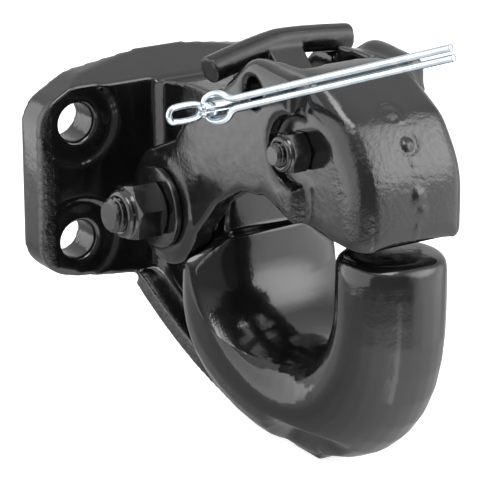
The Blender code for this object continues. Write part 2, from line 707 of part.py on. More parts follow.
def arm(side):
    """One arm with its rounded top edges, its ear's raised ring and the pocket for the lock pivot's nut."""
    low, high = sorted((side * ARM_INNER, side * ARM_OUTER))
    made = side_solid("arm", arm_outline(), low, high)
    round_rims(made, ARM_TOP_RADIUS, 3, PIVOT_FORWARD, ARM_END - SEAT_GAP, HANDLE_UP - DIP_DROP)
    bevel(made, ARM_EDGE_RADIUS, 2, math.radians(60.0))
    low, high = sorted((side * (ARM_OUTER - OVERLAP), side * (ARM_OUTER + EAR_BOSS_HEIGHT)))
    combine(made, drum("ear_boss", EAR_BOSS_RADIUS, low, high, PIVOT_FORWARD, PIVOT_UP), "UNION")
    low, high = sorted((side * CHEEK_OUTER, side * (ARM_OUTER + OVERLAP)))
    combine(made, drum("nut_pocket", POCKET_RADIUS, low, high, LOCK_FORWARD, LOCK_UP), "DIFFERENCE")
    return made


def latch():
    whole = closed_front()
    for side in (-1.0, 1.0):
        combine(whole, arm(side), "UNION")
    low = PIVOT_UP - EAR_RADIUS - OVERLAP
    high = LATCH_TOP + EAR_RADIUS
    cavity_front = LOCK_FORWARD + NOSE_AHEAD - CAVITY_WALL
    slot_front = LOCK_FORWARD - SLOT_BEHIND
    inside = rounded([(ARM_CAVITY_END - OVERLAP, low, 0.0), (cavity_front, low, 0.0),
                      (cavity_front, CAVITY_TOP, CAVITY_RADIUS), (slot_front, CAVITY_TOP, 0.0),
                      (slot_front, high, 0.0), (ARM_CAVITY_END - OVERLAP, high, 0.0)])
    combine(whole, side_solid("cheek_room", inside, -CHEEK_INNER, CHEEK_INNER), "DIFFERENCE")
    reach = ARM_OUTER + OVERLAP
    combine(whole, drum("pivot_bore", PIVOT_BOLT_RADIUS + SEAT_GAP, -reach, reach, PIVOT_FORWARD, PIVOT_UP,
                        SMALL_SIDES), "DIFFERENCE")
    combine(whole, drum("lock_bore", LOCK_BOLT_RADIUS + SEAT_GAP, -reach, reach, LOCK_FORWARD, LOCK_UP,
                        SMALL_SIDES), "DIFFERENCE")
    combine(whole, drum("pin_hole", PIN_HOLE_RADIUS, -reach, reach, PIN_HOLE_FORWARD, PIN_HOLE_UP,
                        SMALL_SIDES), "DIFFERENCE")
    return publish(whole, "latch", LATCH_BLACK, at(PIVOT_FORWARD, PIVOT_UP))


def tube(name, points, radii, sides_setting, cyclic=False):
    """A wire or bar through the points, with filled ends."""
    data = bpy.data.curves.new(name, "CURVE")
    data.dimensions = "3D"
    data.bevel_depth = 1.0
    data.bevel_resolution = sides_setting
    data.use_fill_caps = True
    data.render_resolution_u = 0
    spline = data.splines.new("POLY")
    spline.points.add(len(points) - 1)
    for point, place, radius in zip(spline.points, points, radii):
        point.co = (*place, 1.0)
        point.radius = radius
    spline.use_cyclic_u = cyclic
    return curve_to_mesh(add_object(name, data))


def handle_bar():
    """The T-handle's cross bar, highest in the middle and drooping to its ends."""
    points = []
    radii = []
    steps = 12
    for step in range(steps + 1):
        side = 2.0 * step / steps - 1.0
        bend = abs(side) ** 1.3
        points.append(at(HANDLE_FORWARD + HANDLE_SWEEP * bend,
                         HANDLE_UP - HANDLE_DROOP * bend + HANDLE_TILT * side,
                         HANDLE_HALF_LENGTH * side))
        radii.append(HANDLE_RADIUS)
    return tube("handle_bar", points, radii, 4)


def lever_outline():
    """The lever from its boss back to the heel that seats on the lug's ramp and the stem of the T."""
    rise = LUG_TOP - RAMP_LOW_UP
    run = rise / math.tan(RAMP_ANGLE)
    lift = SEAT_GAP / math.cos(RAMP_ANGLE)
    heel_low = (LUG_FRONT - HEEL_INSET, RAMP_LOW_UP + lift + HEEL_INSET * math.tan(RAMP_ANGLE))
    heel_high = (LUG_FRONT - run + RUN_GAP, LUG_TOP + lift - RUN_GAP * math.tan(RAMP_ANGLE))
    return rounded([(LOCK_FORWARD, LOCK_UP - LEVER_BOSS_RADIUS * 0.9, 0.0),
                    (LOCK_FORWARD, LOCK_UP + LEVER_BOSS_RADIUS * 0.9, 0.0),
                    (LOCK_FORWARD - LEVER_TOP_BEHIND, LOCK_UP + LEVER_TOP_RISE, LEVER_TOP_RADIUS),
                    (HANDLE_FORWARD + STEM_FOOT_AHEAD, HANDLE_UP - STEM_FOOT_DROP, STEM_RADIUS),
                    (HANDLE_FORWARD + STEM_HALF, HANDLE_UP, 0.0),
                    (HANDLE_FORWARD - STEM_HALF, HANDLE_UP, 0.0),
                    (HANDLE_FORWARD - STEM_FOOT_BEHIND, HANDLE_UP - STEM_HEEL_DROP, STEM_RADIUS / 2.0),
                    (heel_high[0], heel_high[1] + HEEL_THICKNESS, HEEL_RADIUS),
                    (*heel_high, 0.0), (*heel_low, 0.0),
                    (LUG_FRONT + HEEL_TOE, RAMP_LOW_UP + SEAT_GAP * 2.0, HEEL_RADIUS),
                    (LOCK_FORWARD - LEVER_FOOT_BEHIND, RAMP_LOW_UP, LEVER_FOOT_RADIUS)])


def lock_lever():
    lever = side_solid("lever", lever_outline(), -LEVER_HALF_WIDTH, LEVER_HALF_WIDTH)
    lever = bevel(lever, LEVER_EDGE_RADIUS, 1, math.radians(60.0))
    combine(lever, drum("boss", LEVER_BOSS_RADIUS, -LEVER_BOSS_HALF_WIDTH, LEVER_BOSS_HALF_WIDTH,
                        LOCK_FORWARD, LOCK_UP), "UNION")
    combine(lever, handle_bar(), "UNION")
    reach = LEVER_BOSS_HALF_WIDTH + OVERLAP
    combine(lever, drum("lock_bore", LOCK_BOLT_RADIUS + SEAT_GAP, -reach, reach, LOCK_FORWARD, LOCK_UP,
                        SMALL_SIDES), "DIFFERENCE")
    return publish(lever, "lock_lever", LEVER_BLACK, at(LOCK_FORWARD, LOCK_UP))


def hexagon(name, flats, low, high, forward, up, turn):
    """A hexagonal prism across the part."""
    corner = flats / math.sqrt(3.0)
    outline = [Vector((forward + corner * math.cos(math.radians(turn + 60.0 * side)),
                       up + corner * math.sin(math.radians(turn + 60.0 * side)))) for side in range(6)]
    return side_solid(name, outline, low, high)


def chamfered(flats, seat, height):
    """A turned blank that trims a hexagon's corners at its outer end, which faces -X."""
    corner = flats / math.sqrt(3.0)
    flat = flats / 2.0
    return [(0.0, -seat + OVERLAP), (corner + 0.0001, -seat + OVERLAP),
            (corner + 0.0001, -seat - height + (corner - flat) * 0.6),
            (flat * 0.98, -seat - height), (0.0, -seat - height)]


def lock_nut(name, flats, seat, height, collar_radius, collar_height, bolt_radius, forward, up, turn):
    """A hexagon nut with the round collar that holds its ring; its base faces the part at -seat."""
    nut = hexagon(name, flats, -seat - height, -seat, forward, up, turn)
    combine(nut, turned("nut_blank", chamfered(flats, seat, height), across_frame(forward, up)), "INTERSECT")
    outer = -seat - height - collar_height
    collar = [(0.0, -seat - height + 0.001), (collar_radius, -seat - height + 0.001),
              (collar_radius, outer + 0.0008), (collar_radius - 0.0008, outer), (0.0, outer)]
    combine(nut, turned("collar", collar, across_frame(forward, up)), "UNION")
    combine(nut, drum("nut_bore", bolt_radius + SEAT_GAP, outer - OVERLAP, -seat + OVERLAP, forward, up,
                      SMALL_SIDES), "DIFFERENCE")
    ring_room = (bolt_radius + collar_radius) / 2.0 + 0.0004
    floor = -seat - height - 0.0002
    combine(nut, drum("ring_room", ring_room, outer - OVERLAP, floor, forward, up, SMALL_SIDES), "DIFFERENCE")
    return nut, ring_room, outer, floor


def nut_with_ring(name, material, **sizes):
    nut, ring_room, outer, floor = lock_nut(name, **sizes)
    publish(nut, name, material)
    inner = sizes["bolt_radius"] + SEAT_GAP
    rim = ring_room - SEAT_GAP
    low, high = outer + 0.0003, floor - SEAT_GAP
    profile = [(inner, high), (rim, high), (rim, low), (inner, low), (inner, high)]
    ring = turned(name + "_ring", profile, across_frame(sizes["forward"], sizes["up"]), SMALL_SIDES)
    publish(ring, name + "_ring", NYLON)


def bolt(name, radius, flats, head_height, head_seat, thread_end, forward, up, turn):
    """A hexagon bolt: its head on the far side, its threaded end past the nut on the near side."""
    made = hexagon(name, flats, head_seat, head_seat + head_height, forward, up, turn)
    chamfer = 0.0012
    corner = flats / math.sqrt(3.0)
    top = head_seat + head_height
    blank = [(0.0, top), (flats / 2.0 * 0.98, top), (corner + 0.0001, top - (corner - flats / 2.0) * 0.6),
             (corner + 0.0001, head_seat - OVERLAP), (0.0, head_seat - OVERLAP)]
    combine(made, turned("head_blank", blank, across_frame(forward, up)), "INTERSECT")
    shank = [(0.0, head_seat + 0.001), (radius, head_seat + 0.001), (radius, -thread_end + chamfer),
             (radius - chamfer, -thread_end), (0.0, -thread_end)]
    combine(made, turned("shank", shank, across_frame(forward, up), SMALL_SIDES), "UNION")
    return publish(made, name, BOLT_BLACK)


def washer(name, side):
    """A flat washer against one ear: side is -1 for the near one and 1 for the far one."""
    near = ARM_OUTER + EAR_BOSS_HEIGHT + SEAT_GAP
    low, high = sorted((side * near, side * (near + PIVOT_WASHER_THICKNESS)))
    inner = PIVOT_BOLT_RADIUS + SEAT_GAP
    edge = 0.0005
    profile = [(inner, high), (PIVOT_WASHER_RADIUS - edge, high), (PIVOT_WASHER_RADIUS, high - edge),
               (PIVOT_WASHER_RADIUS, low + edge), (PIVOT_WASHER_RADIUS - edge, low), (inner, low),
               (inner, high)]
    made = turned(name, profile, across_frame(PIVOT_FORWARD, PIVOT_UP), ROUND_SIDES)
    return publish(made, name, WASHER_BLACK)


def pivot_fasteners():
    seat = ARM_OUTER + EAR_BOSS_HEIGHT + SEAT_GAP + PIVOT_WASHER_THICKNESS + SEAT_GAP
    washer("near_pivot_washer", -1.0)
    washer("far_pivot_washer", 1.0)
    nut_with_ring("pivot_nut", BOLT_BLACK, flats=PIVOT_NUT_FLATS, seat=seat, height=PIVOT_NUT_HEIGHT,
                  collar_radius=PIVOT_COLLAR_RADIUS, collar_height=PIVOT_COLLAR_HEIGHT,
                  bolt_radius=PIVOT_BOLT_RADIUS, forward=PIVOT_FORWARD, up=PIVOT_UP, turn=12.0)
    end = seat + PIVOT_NUT_HEIGHT + PIVOT_COLLAR_HEIGHT + PIVOT_THREAD_END
    bolt("pivot_bolt", PIVOT_BOLT_RADIUS, PIVOT_NUT_FLATS, PIVOT_HEAD_HEIGHT, seat, end,
         PIVOT_FORWARD, PIVOT_UP, 20.0)


def lock_fasteners():
    seat = CHEEK_OUTER + SEAT_GAP
    nut_with_ring("lock_nut", BOLT_BLACK, flats=LOCK_NUT_FLATS, seat=seat, height=LOCK_NUT_HEIGHT,
                  collar_radius=LOCK_COLLAR_RADIUS, collar_height=LOCK_COLLAR_HEIGHT,
                  bolt_radius=LOCK_BOLT_RADIUS, forward=LOCK_FORWARD, up=LOCK_UP, turn=8.0)
    end = seat + LOCK_NUT_HEIGHT + LOCK_COLLAR_HEIGHT + LOCK_THREAD_END
    bolt("lock_bolt", LOCK_BOLT_RADIUS, LOCK_NUT_FLATS, LOCK_HEAD_HEIGHT, seat, end,
         LOCK_FORWARD, LOCK_UP, 25.0)


def split_pin_path(eye_width, eye_length, leg_spread, leg_length):
    """One split pin in its own plane: legs along +x from the neck at 0, eye behind the neck."""
    half_eye = eye_width / 2.0
    half_leg = leg_spread / 2.0
    upper = [(leg_length - leg_length * step / 8.0, half_leg) for step in range(9)]
    shoulder = eye_length * 0.30
    upper += [(-shoulder * 0.35, half_leg + (half_eye - half_leg) * 0.35), (-shoulder, half_eye)]
    straight_end = -(eye_length - half_eye)
    arc = []
    for step in range(9):
        turn = math.pi / 2.0 + math.pi * step / 8.0
        arc.append((straight_end + half_eye * math.cos(turn), half_eye * math.sin(turn)))
    lower = [(x, -y) for x, y in reversed(upper)]
    return upper + arc + lower


def split_pin(name, path, frame):
    """Bend the wire along the path, both ends tapered."""
    points = [frame @ Vector((x, 0.0, y)) for x, y in path]
    radii = [WIRE_RADIUS] * len(points)
    radii[0] = WIRE_RADIUS * 0.7
    radii[-1] = WIRE_RADIUS * 0.7
    made = tube(name, points, radii, 2)
    return made


def split_pins():
    """The anchor pin in the near ear, and the long pin whose eye hangs on it."""
    rest_up = PIN_HOLE_UP - PIN_HOLE_RADIUS + LEG_SPREAD / 2.0 + WIRE_RADIUS + SEAT_GAP
    pin_axis = at(PIN_HOLE_FORWARD, rest_up)
    neck = ANCHOR_EYE_END - ANCHOR_EYE_LENGTH
    path = split_pin_path(ANCHOR_EYE_WIDTH, ANCHOR_EYE_LENGTH - WIRE_RADIUS, LEG_SPREAD, neck - ANCHOR_TIP)
    frame = Matrix.Translation(pin_axis + Vector((-neck, 0.0, 0.0)))
    anchor = split_pin("anchor_pin", path, frame)
    publish(anchor, "anchor_pin", ZINC, pin_axis + Vector((-neck, 0.0, 0.0)))
    path = split_pin_path(LONG_EYE_WIDTH, LONG_EYE_LENGTH - WIRE_RADIUS, LONG_LEG_SPREAD, LONG_LEG_LENGTH)
    eye_reach = LONG_EYE_LENGTH - WIRE_RADIUS - LONG_EYE_WIDTH / 2.0 - LEG_SPREAD * 0.4
    turn = Matrix.Rotation(-math.pi / 2.0 + LONG_PIN_YAW, 4, "Z") @ Matrix.Rotation(-LONG_PIN_PITCH, 4, "Y")
    base = pin_axis + Vector((-LONG_PIN_ACROSS, 0.0, 0.0))
    frame = Matrix.Translation(base) @ turn @ Matrix.Translation((eye_reach, 0.0, 0.0))
    long_pin = split_pin("long_pin", path, frame)
    publish(long_pin, "long_pin", ZINC, base)


hook_body()
latch()
lock_lever()
pivot_fasteners()
lock_fasteners()
split_pins()
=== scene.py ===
"""Looks of a cast pintle hook: glossy black paint on rough castings, painted fasteners, bright zinc pins.

Everything is in metres in the model's own frame: +Z up, the hook reaches forward along -Y, X runs
across. Places are written as a distance forward of the mounting face and a height, as on a side
drawing.
"""

import logging
import math
from dataclasses import dataclass
from enum import Enum

import bmesh
import bpy
import numpy as np
from mathutils import Matrix, Vector


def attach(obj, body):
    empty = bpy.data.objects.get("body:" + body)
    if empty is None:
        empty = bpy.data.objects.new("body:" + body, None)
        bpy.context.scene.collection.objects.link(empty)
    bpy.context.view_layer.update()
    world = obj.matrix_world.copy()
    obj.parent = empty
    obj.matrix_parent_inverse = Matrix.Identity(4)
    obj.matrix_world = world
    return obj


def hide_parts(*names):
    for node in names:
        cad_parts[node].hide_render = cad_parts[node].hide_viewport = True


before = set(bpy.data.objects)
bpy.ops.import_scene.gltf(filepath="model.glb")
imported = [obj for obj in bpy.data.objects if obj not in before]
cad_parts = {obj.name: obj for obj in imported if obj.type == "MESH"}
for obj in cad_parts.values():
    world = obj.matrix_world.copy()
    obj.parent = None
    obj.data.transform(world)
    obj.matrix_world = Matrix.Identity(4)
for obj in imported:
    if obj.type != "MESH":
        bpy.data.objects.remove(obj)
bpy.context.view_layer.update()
LOG = logging.getLogger("pintle_hook")


class Side(Enum):
    """Which way a fastener points: towards the viewer's side of the hook or away from it."""

    NEAR = -1.0
    FAR = 1.0


@dataclass(frozen=True)
class Axis:
    """A line across the hook that a bolt or a pin lies on.

    Args:
        forward: distance ahead of the mounting face.
        up: height over the hole pattern's centre.
    """

    forward: float
    up: float

    def place(self, across: np.ndarray, ahead: np.ndarray, above: np.ndarray) -> np.ndarray:
        """Points from their place across and their offsets from the axis.

        Args:
            across: each point's place across the hook.
            ahead, above: each point's offset ahead of the axis and above it.

        Returns:
            An (..., 3) array of places.
        """
        shape = np.broadcast(across, ahead, above).shape
        points = np.empty(shape + (3,))
        points[..., 0] = across
        points[..., 1] = -(self.forward + ahead)
        points[..., 2] = self.up + above
        return points


MAIN_PIVOT = Axis(0.0490, -0.0024)
LOCK_PIVOT = Axis(0.1275, 0.0367)
HOLE_ACROSS = 0.085725 / 2.0
HOLE_UP = 0.04445 / 2.0
CHAMFER_SLOPE = 0.58


def set_range(node: bpy.types.Node, *ends: float) -> None:
    """Set a Map Range node's two source ends and its two result ends."""
    for socket, value in zip(("From Min", "From Max", "To Min", "To Max"), ends):
        node.inputs[socket].default_value = value


class Graph:
    """Adds and joins shader nodes in one new material."""

    def __init__(self, name: str) -> None:
        """Start an empty material with its output and its Principled shader.

        Args:
            name: the material's name.
        """
        self.material = bpy.data.materials.new(name)
        self.material.use_nodes = True
        self.tree = self.material.node_tree
        self.tree.nodes.clear()
        self.output = self.add("ShaderNodeOutputMaterial")
        self.shader = self.add("ShaderNodeBsdfPrincipled")
        self.join(self.shader, 0, self.output, "Surface")
        self.position = self.add("ShaderNodeTexCoord")

    def add(self, kind: str, **settings: object) -> bpy.types.Node:
        """Add one node and set its properties, or its input sockets where the name matches one.

        Args:
            kind: the node's type.
            settings: property or socket names, with _ for a space, and their values.

        Returns:
            The new node.
        """
        node = self.tree.nodes.new(kind)
        for key, value in settings.items():
            socket = key.replace("_", " ")
            if hasattr(node, key):
                setattr(node, key, value)
            else:
                node.inputs[socket].default_value = value
        return node

    def join(self, source: bpy.types.Node, output: object, target: bpy.types.Node, socket: object) -> None:
        """Link an output of one node to an input of another, each by its name or number."""
        self.tree.links.new(source.outputs[output], target.inputs[socket])

    def noise(self, size: float, detail: float = 2.0, roughness: float = 0.5) -> bpy.types.Node:
        """Noise on the object's own coordinates.

        Args:
            size: the blobs' rough width in metres.
            detail, roughness: how many finer layers there are, and how strong.

        Returns:
            The noise node.
        """
        node = self.add("ShaderNodeTexNoise", Scale=1.0 / size, Detail=detail, Roughness=roughness)
        self.join(self.position, "Object", node, "Vector")
        return node

    def math(self, operation: str, first: object, second: object) -> bpy.types.Node:
        """One Math node.

        Args:
            operation: the sum that it does.
            first, second: each a number, a node or a (node, output) pair.

        Returns:
            The Math node.
        """
        node = self.add("ShaderNodeMath", operation=operation)
        for index, operand in enumerate((first, second)):
            if isinstance(operand, tuple):
                self.join(operand[0], operand[1], node, index)
            elif isinstance(operand, bpy.types.Node):
                self.join(operand, 0, node, index)
            else:
                node.inputs[index].default_value = operand
        return node

    def spread(self, source: bpy.types.Node, low: float, high: float, out_low: float, out_high: float,
               output: object = 0) -> bpy.types.Node:
        """Remap a value from one range to another, clamped.

        Args:
            source: the node that gives the value.
            low, high: the value's range.
            out_low, out_high: the result's range.
            output: which of the source's outputs is used.

        Returns:
            The Map Range node.
        """
        node = self.add("ShaderNodeMapRange")
        self.join(source, output, node, "Value")
        set_range(node, low, high, out_low, out_high)
        return node

    def near(self, patch: "RoughPatch") -> bpy.types.Node:
        """A mask that is the patch's strength in its ball and falls to 0 over its soft distance.

        Args:
            patch: the ball.

        Returns:
            The node with the mask.
        """
        offset = self.add("ShaderNodeVectorMath", operation="DISTANCE")
        self.join(self.position, "Object", offset, 0)
        offset.inputs[1].default_value = patch.centre()
        return self.spread(offset, patch.radius, patch.radius + patch.soft, patch.strength, 0.0, "Value")

    def bump(self, height_mm: bpy.types.Node) -> None:
        """Use a height as the shader's relief.

        Args:
            height_mm: the node with the height in millimetres.
        """
        node = self.add("ShaderNodeBump", Strength=1.0, Distance=0.001)
        self.join(height_mm, 0, node, "Height")
        self.join(node, "Normal", self.shader, "Normal")

    def tint(self, mask: bpy.types.Node, low: tuple, high: tuple) -> None:
        """Mix the base colour between two colours.

        Args:
            mask: the node that says how much of the second there is.
            low, high: the two linear colours.
        """
        node = self.add("ShaderNodeMix", data_type="RGBA")
        self.join(mask, 0, node, "Factor")
        node.inputs["A"].default_value = (*low, 1.0)
        node.inputs["B"].default_value = (*high, 1.0)
        self.join(node, "Result", self.shader, "Base Color")


@dataclass(frozen=True)
class RoughPatch:
    """A ball-shaped region where the sand casting shows through the paint."""

    across: float
    forward: float
    up: float
    radius: float
    soft: float = 0.005
    strength: float = 1.0

    def centre(self) -> Vector:
        """The ball's centre."""
        return Vector((self.across, -self.forward, self.up))


@dataclass(frozen=True)
class CastPaint:
    """Thick glossy paint over a sand casting.

    Args:
        name: the material's name.
        colour: the paint's linear colour.
        gloss: the shader's roughness where the paint is smooth.
        peel_size, peel_height_mm: the orange peel's blob size and height.
        wave_size, wave_height_mm: the slow waviness of the casting.
        patches: where the surface is rough.
        rough_height_mm, grit_size: the height and the size of the grit in those patches.
        throat: the throat's middle as (forward, up), where the casting has one.
        throat_radius, throat_soft: how far the crown reaches from there, and over what it fades.
        throat_crown: how strongly the throat is crowned across.
        peel_patch: where the orange peel is stronger, and by how many times.
        specular: the shader's specular level.
        cloud_size, tone_size: the sizes of the changes in gloss and in tone.
    """

    name: str
    colour: tuple = (0.0045, 0.0045, 0.0047)
    gloss: float = 0.10
    peel_size: float = 0.0015
    peel_height_mm: float = 0.030
    wave_size: float = 0.0100
    wave_height_mm: float = 0.10
    patches: tuple = ()
    rough_height_mm: float = 0.30
    throat: tuple[float, float] | None = None
    throat_radius: float = 0.031
    throat_crown: float = 6.0
    throat_soft: float = 0.006
    peel_patch: RoughPatch | None = None
    specular: float = 0.5
    grit_size: float = 0.0016
    cloud_size: float = 0.004
    tone_size: float = 0.012

    def make(self) -> bpy.types.Material:
        """Build the material: a slow wave, fine orange peel, and grit inside the patches.

        Returns:
            The new material.
        """
        graph = Graph(self.name)
        wave = graph.math("MULTIPLY", graph.noise(self.wave_size, 1.0), self.wave_height_mm)
        peel = graph.math("MULTIPLY", graph.noise(self.peel_size, 2.0), self.peel_height_mm)
        if self.peel_patch is not None:
            more = graph.near(self.peel_patch)
            peel = graph.math("MULTIPLY", peel, graph.math("ADD", more, 1.0))
        height = graph.math("ADD", wave, peel)
        mask = None
        for patch in self.patches:
            ball = graph.near(patch)
            mask = ball if mask is None else graph.math("MAXIMUM", mask, ball)
        if mask is not None:
            grit = graph.math("MULTIPLY", graph.noise(self.grit_size, 4.0, 0.6), self.rough_height_mm)
            height = graph.math("ADD", height, graph.math("MULTIPLY", grit, mask))
        if self.throat is not None:
            height = graph.math("SUBTRACT", height, self.crown_of_throat(graph))
        graph.bump(height)
        cloud = graph.noise(self.cloud_size, 3.0)
        shine = graph.spread(cloud, 0.3, 0.75, self.gloss * 0.8, self.gloss * 1.5)
        graph.join(shine, 0, graph.shader, "Roughness")
        lighter = tuple(channel * 1.7 for channel in self.colour)
        tone = graph.spread(graph.noise(self.tone_size, 3.0), 0.35, 0.75, 0.0, 1.0)
        graph.tint(tone, self.colour, lighter)
        graph.shader.inputs["IOR"].default_value = 1.52
        graph.shader.inputs["Specular IOR Level"].default_value = self.specular
        return graph.material

    def crown_of_throat(self, graph: Graph) -> bpy.types.Node:
        """The throat's crown in millimetres: its factor times X in millimetres squared, over a thousand.

        Args:
            graph: the material's graph.

        Returns:
            The node with the height, which is nothing away from the throat.
        """
        flat = graph.add("ShaderNodeVectorMath", operation="MULTIPLY")
        graph.join(graph.position, "Object", flat, 0)
        flat.inputs[1].default_value = (0.0, 1.0, 1.0)
        reach = graph.add("ShaderNodeVectorMath", operation="DISTANCE")
        graph.join(flat, "Vector", reach, 0)
        reach.inputs[1].default_value = (0.0, -self.throat[0], self.throat[1])
        inside = graph.spread(reach, self.throat_radius, self.throat_radius + self.throat_soft, 1.0, 0.0, "Value")
        parts = graph.add("ShaderNodeSeparateXYZ")
        graph.join(graph.position, "Object", parts, 0)
        across = graph.math("MULTIPLY", (parts, "X"), 1000.0)
        crown = graph.math("MULTIPLY", graph.math("MULTIPLY", across, across), self.throat_crown / 1000.0)
        return graph.math("MULTIPLY", crown, inside)


@dataclass(frozen=True)
class FastenerPaint:
    """Thin black paint over machined steel, a little greyer where the paint has rubbed.

    Args:
        name: the material's name.
        colour, rubbed: the paint's colour, and its colour where it has rubbed.
        gloss: the shader's roughness on sound paint.
        wear_size: the rubbed spots' size.
        grain_size, grain_height_mm: the fine grain's size and height.
    """

    name: str
    colour: tuple = (0.005, 0.005, 0.005)
    rubbed: tuple = (0.022, 0.022, 0.022)
    gloss: float = 0.16
    wear_size: float = 0.0030
    grain_size: float = 0.0010
    grain_height_mm: float = 0.020

    def make(self) -> bpy.types.Material:
        """Build the material: rubbed spots by noise and a fine grain in the paint.

        Returns:
            The new material.
        """
        graph = Graph(self.name)
        wear = graph.spread(graph.noise(self.wear_size, 4.0, 0.6), 0.55, 0.75, 0.0, 1.0)
        graph.tint(wear, self.colour, self.rubbed)
        graph.bump(graph.math("MULTIPLY", graph.noise(self.grain_size, 3.0), self.grain_height_mm))
        graph.join(graph.spread(wear, 0.0, 1.0, self.gloss, self.gloss * 2.0), 0, graph.shader, "Roughness")
        graph.shader.inputs["IOR"].default_value = 1.6
        return graph.material


@dataclass(frozen=True)
class ZincPlate:
    """Bright zinc plate on drawn wire, with faint blue in its shading and fine scratches.

    Args:
        name: the material's name.
        colour, cloudy: the plate's colour, and its colour in the clouds.
        gloss: the shader's roughness.
        cloud_size, grain_size: the sizes of the changes in tint and in gloss.
        scratch_size, scratch_height_mm: the scratches' size and height.
    """

    name: str
    colour: tuple = (0.58, 0.63, 0.67)
    cloudy: tuple = (0.42, 0.50, 0.58)
    gloss: float = 0.20
    cloud_size: float = 0.0040
    grain_size: float = 0.0015
    scratch_size: float = 0.0008
    scratch_height_mm: float = 0.010

    def make(self) -> bpy.types.Material:
        """Build the material: cloudy tint and light scratches.

        Returns:
            The new material.
        """
        graph = Graph(self.name)
        clouds = graph.spread(graph.noise(self.cloud_size, 3.0), 0.4, 0.7, 0.0, 1.0)
        graph.tint(clouds, self.colour, self.cloudy)
        graph.bump(graph.math("MULTIPLY", graph.noise(self.scratch_size, 3.0, 0.6), self.scratch_height_mm))
        grain = graph.spread(graph.noise(self.grain_size, 3.0), 0.3, 0.7, self.gloss * 0.7, self.gloss * 1.5)
        graph.join(grain, 0, graph.shader, "Roughness")
        graph.shader.inputs["Metallic"].default_value = 1.0
        return graph.material


@dataclass(frozen=True)
class NylonRing:
    """The painted nylon ring of a lock nut.

    Args:
        name: the material's name.
        colour: the paint's linear colour.
        gloss: the shader's roughness.
        mottle_size: the size of the changes in tone.
        grain_size, grain_height_mm: the fine grain's size and height.
    """

    name: str
    colour: tuple = (0.010, 0.010, 0.010)
    gloss: float = 0.32
    mottle_size: float = 0.0015
    grain_size: float = 0.0007
    grain_height_mm: float = 0.015

    def make(self) -> bpy.types.Material:
        """Build the material: satin and slightly mottled.

        Returns:
            The new material.
        """
        graph = Graph(self.name)
        lighter = tuple(channel * 2.0 for channel in self.colour)
        mottle = graph.spread(graph.noise(self.mottle_size, 3.0), 0.4, 0.7, 0.0, 1.0)
        graph.tint(mottle, self.colour, lighter)
        graph.bump(graph.math("MULTIPLY", graph.noise(self.grain_size, 2.0), self.grain_height_mm))
        graph.shader.inputs["Roughness"].default_value = self.gloss
        return graph.material


def mesh_object(name: str, points: np.ndarray, faces: np.ndarray, crease: float = 40.0) -> bpy.types.Object:
    """Make a smooth object from arrays, with its faces turned outwards.

    Args:
        name: the object's name.
        points: (count, 3) vertex places.
        faces: (count, 4) or (count, 3) vertex numbers.
        crease: edges bent more than this many degrees stay sharp.

    Returns:
        The new object, linked to the scene.
    """
    mesh = bpy.data.meshes.new(name)
    mesh.from_pydata(points.reshape(-1, 3).tolist(), [], faces.tolist())
    work = bmesh.new()
    work.from_mesh(mesh)
    bmesh.ops.remove_doubles(work, verts=work.verts, dist=1e-7)
    bmesh.ops.recalc_face_normals(work, faces=work.faces)
    work.to_mesh(mesh)
    work.free()
    mesh.shade_smooth()
    mesh.set_sharp_from_angle(angle=math.radians(crease))
    piece = bpy.data.objects.new(name, mesh)
    bpy.context.scene.collection.objects.link(piece)
    return piece


def grid_faces(rows: int, columns: int, wrap_rows: bool, wrap_columns: bool) -> np.ndarray:
    """Quads that join neighbours of a rows by columns grid, closed round either way.

    Args:
        rows, columns: the grid's size.
        wrap_rows: whether the last row meets the first.
        wrap_columns: whether the last column meets the first.

    Returns:
        (count, 4) vertex numbers.
    """
    row = np.arange(rows if wrap_rows else rows - 1)[:, None]
    column = np.arange(columns if wrap_columns else columns - 1)[None, :]
    next_row = (row + 1) % rows
    next_column = (column + 1) % columns
    corners = (row * columns + column, row * columns + next_column,
               next_row * columns + next_column, next_row * columns + column)
    return np.stack(np.broadcast_arrays(*corners), axis=-1).reshape(-1, 4)


def merged_copy(node: str, name: str) -> bpy.types.Object:
    """A copy of a CAD node's mesh with its loose triangles joined.

    Args:
        node: the CAD node.
        name: the copy's name.

    Returns:
        The new object, linked to the scene and without a material.
    """
    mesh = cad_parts[node].data.copy()
    mesh.name = name
    work = bmesh.new()
    work.from_mesh(mesh)
    bmesh.ops.remove_doubles(work, verts=work.verts, dist=1e-6)
    work.to_mesh(mesh)
    work.free()
    mesh.materials.clear()
    piece = bpy.data.objects.new(name, mesh)
    bpy.context.scene.collection.objects.link(piece)
    return piece


def settle(piece: bpy.types.Object) -> None:
    """Apply every modifier on a piece to its mesh.

    Args:
        piece: the object, whose old mesh is removed.
    """
    bpy.context.view_layer.update()
    source = piece.evaluated_get(bpy.context.evaluated_depsgraph_get())
    mesh = bpy.data.meshes.new_from_object(source)
    piece.modifiers.clear()
    old = piece.data
    piece.data = mesh
    bpy.data.meshes.remove(old)


def vertex_arrays(mesh: bpy.types.Mesh) -> tuple[np.ndarray, np.ndarray]:
    """A mesh's vertex places and normals.

    Args:
        mesh: the mesh.

    Returns:
        Two (count, 3) arrays, places first.
    """
    places = np.empty(len(mesh.vertices) * 3)
    mesh.vertices.foreach_get("co", places)
    normals = np.empty(len(mesh.vertices) * 3)
    mesh.vertex_normals.foreach_get("vector", normals)
    return places.reshape(-1, 3), normals.reshape(-1, 3)


def ease(value: np.ndarray) -> np.ndarray:
    """A smooth step from 0 to 1: three squares minus two cubes."""
    value = np.clip(value, 0.0, 1.0)
    return value * value * (3.0 - 2.0 * value)


